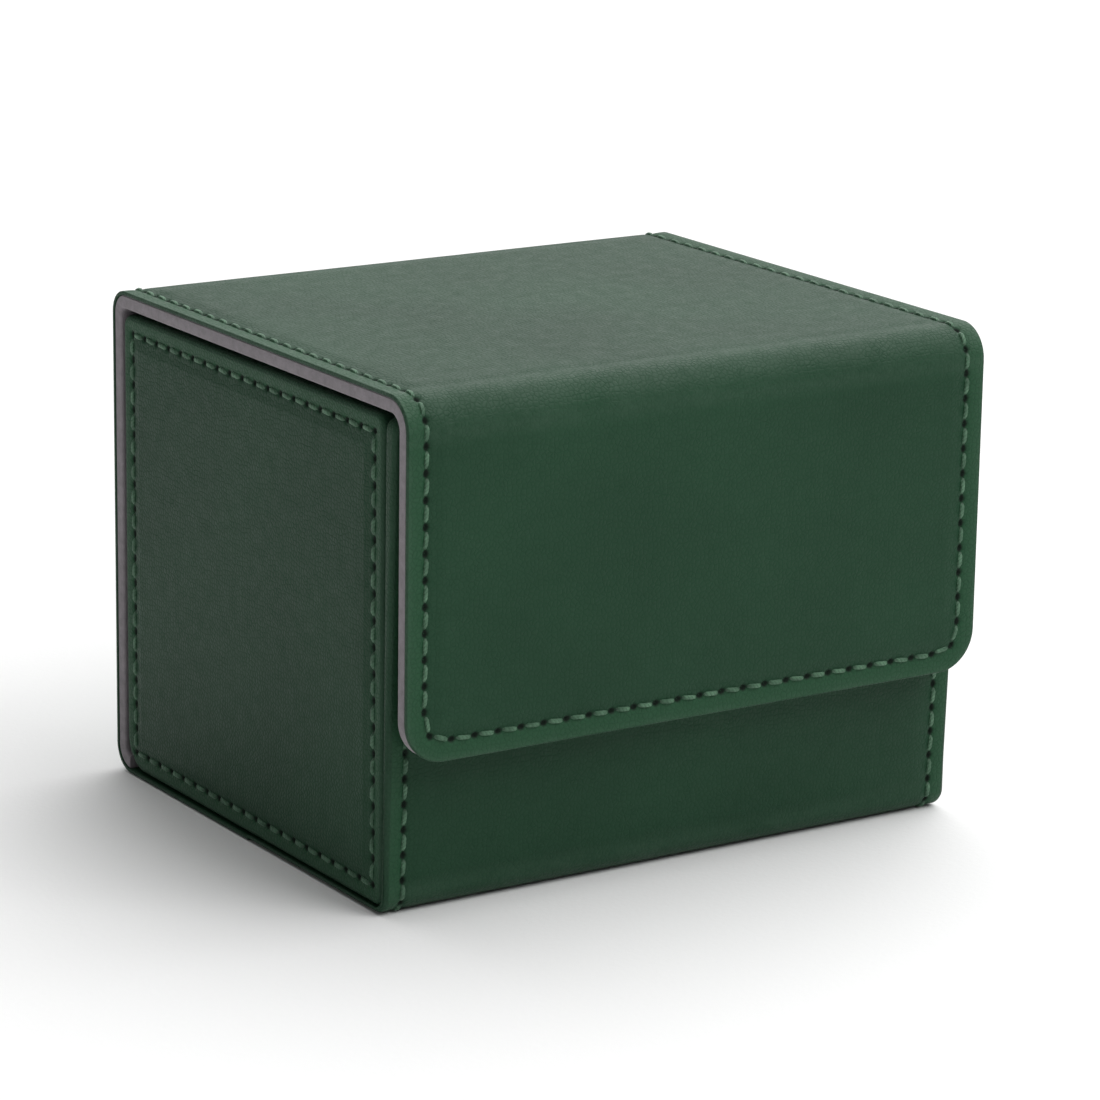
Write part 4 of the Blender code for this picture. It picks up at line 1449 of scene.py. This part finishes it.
class DECKBOX_OT_side_stitches(Operator):
    """Sew the row round each side panel"""

    bl_idname = "deckbox.side_stitches"
    bl_label = "Side Stitches"

    def execute(self, context):
        sizes = context.scene.deck_box_sizes
        material = get_material(green_thread, context)
        starts, ends = stitch_ends(side_row(sizes.stitch), closed=True)
        for side, word in ((-1, "left"), (1, "right")):
            name, bend = f"stitches_side_{word}", bend_side(side)
            piece = make_stitches(name, starts, ends, 1, sizes, bend, material)
            finish_piece(piece, [f"{word}_side_stitch"], body="box")
        return {"FINISHED"}


class DECKBOX_OT_boards_and_magnets(Operator):
    """Give the stiffening boards and the magnets their finish"""

    bl_idname = "deckbox.boards_and_magnets"
    bl_label = "Boards and Magnets"

    def execute(self, context):
        for mark, build in (("_board", grey_board), ("_magnet_", nickel_magnet)):
            material = get_material(build, context)
            for node in [node for name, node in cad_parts.items() if mark in name]:
                node.data.materials.clear()
                node.data.materials.append(material)
        return {"FINISHED"}


def add_light(name, place, target, size, power):
    """A square area light at a place, facing a target."""
    data = bpy.data.lights.new(name, "AREA")
    data.shape = "SQUARE"
    data.size = size
    data.energy = power
    light = bpy.data.objects.new(name, data)
    light.visible_camera = False
    light.location = place
    light.rotation_euler = (Vector(target) - Vector(place)).to_track_quat("-Z", "Y").to_euler()
    bpy.context.scene.collection.objects.link(light)


def add_sky_light(name, place, strength):
    """A wide, soft light from far above, in the direction of a place from the origin."""
    data = bpy.data.lights.new(name, "SUN")
    data.energy = strength
    data.angle = math.radians(80)
    light = bpy.data.objects.new(name, data)
    light.rotation_euler = Vector(place).to_track_quat("Z", "Y").to_euler()
    bpy.context.scene.collection.objects.link(light)


class DECKBOX_OT_stage(Operator):
    """Lay the floor, hang the lights and place the camera"""

    bl_idname = "deckbox.stage"
    bl_label = "Stage"

    def execute(self, context):
        stage = context.scene.deck_box_stage
        self.lay_floor(get_material(studio_paper, context))
        middle = (0, 0, HEIGHT / 2)
        add_sky_light("sky_light", (0.55, 0.25, 1.1), stage.sky_power)
        add_light("key_light", (0.45, -0.95, 1.1), middle, 0.8, stage.key_power)
        add_light("back_light", (0.65, 1.0, 0.55), middle, 1.2, stage.back_power)
        context.scene.world = self.surroundings(stage)
        context.scene.view_settings.view_transform = "Standard"
        self.place_camera(context, stage)
        return {"FINISHED"}

    def surroundings(self, stage):
        """Pale where they are seen directly, and dimmer as a light on the box."""
        world = bpy.data.worlds.new("studio")
        world.use_nodes = True
        nodes = Nodes(world.node_tree)
        seen = nodes.add("ShaderNodeLightPath").outputs["Is Camera Ray"]
        surround = world.node_tree.nodes["Background"]
        strength = nodes.spread(seen, 0.0, 1.0, stage.world, stage.backdrop)
        nodes.fill(surround.inputs, {"Color": (1, 1, 1, 1), "Strength": strength})
        return world

    def lay_floor(self, material):
        """A flat sheet of paper, a hair below the box so that the two don't share a plane."""
        reach, below = 6.0, 0.00002
        side = np.array([-reach, reach])
        x, y = np.meshgrid(side, side)
        points = np.stack([x.ravel(), y.ravel(), np.full(4, -below)], axis=-1)
        mesh = bpy.data.meshes.new("studio_floor")
        mesh.from_pydata(points.tolist(), [], grid_quads(2, 2).tolist())
        mesh.materials.append(material)
        floor = bpy.data.objects.new("studio_floor", mesh)
        bpy.context.scene.collection.objects.link(floor)

    def place_camera(self, context, stage):
        """The camera backs away from its target along its azimuth and elevation."""
        back = Vector((
            math.sin(stage.azimuth) * math.cos(stage.elevation),
            -math.cos(stage.azimuth) * math.cos(stage.elevation),
            math.sin(stage.elevation),
        ))
        data = bpy.data.cameras.new("camera")
        data.lens = stage.lens
        data.clip_start = 0.01
        camera = bpy.data.objects.new("camera", data)
        turn = (-back).to_track_quat("-Z", "Y").to_matrix().to_4x4()
        place = Matrix.Translation(Vector(stage.target) + back * stage.distance)
        camera.matrix_world = place @ turn @ Matrix.Rotation(stage.roll, 4, "Z")
        context.scene.collection.objects.link(camera)
        context.scene.camera = camera


STEPS = (
    DECKBOX_OT_stage,
    DECKBOX_OT_strip_leather,
    DECKBOX_OT_strip_lining,
    DECKBOX_OT_strip_stitches,
    DECKBOX_OT_inner_stitches,
    DECKBOX_OT_side_panels,
    DECKBOX_OT_side_stitches,
    DECKBOX_OT_boards_and_magnets,
)


class DECKBOX_PT_steps(Panel):
    """Lists the steps that build the deck box"""

    bl_idname = "DECKBOX_PT_steps"
    bl_label = "Deck Box"
    bl_space_type = "VIEW_3D"
    bl_region_type = "UI"
    bl_category = "Deck Box"

    def draw(self, context):
        for step in STEPS:
            self.layout.operator(step.bl_idname)


SETTINGS = {
    "deck_box_sizes": DeckBoxSizes,
    "deck_box_finish": DeckBoxFinish,
    "deck_box_stage": DeckBoxStage,
}
CLASSES = (*SETTINGS.values(), *STEPS, DECKBOX_PT_steps)


def register():
    """Adds the classes and gives every scene the settings."""
    for cls in CLASSES:
        bpy.utils.register_class(cls)
    for name, cls in SETTINGS.items():
        setattr(bpy.types.Scene, name, PointerProperty(type=cls))


def unregister():
    """Undoes what register does."""
    for name in SETTINGS:
        delattr(bpy.types.Scene, name)
    for cls in reversed(CLASSES):
        bpy.utils.unregister_class(cls)


def main():
    """Runs every step in turn."""
    register()
    for step in STEPS:
        group, name = step.bl_idname.split(".")
        getattr(getattr(bpy.ops, group), name)()


if __name__ == "__main__":
    main()
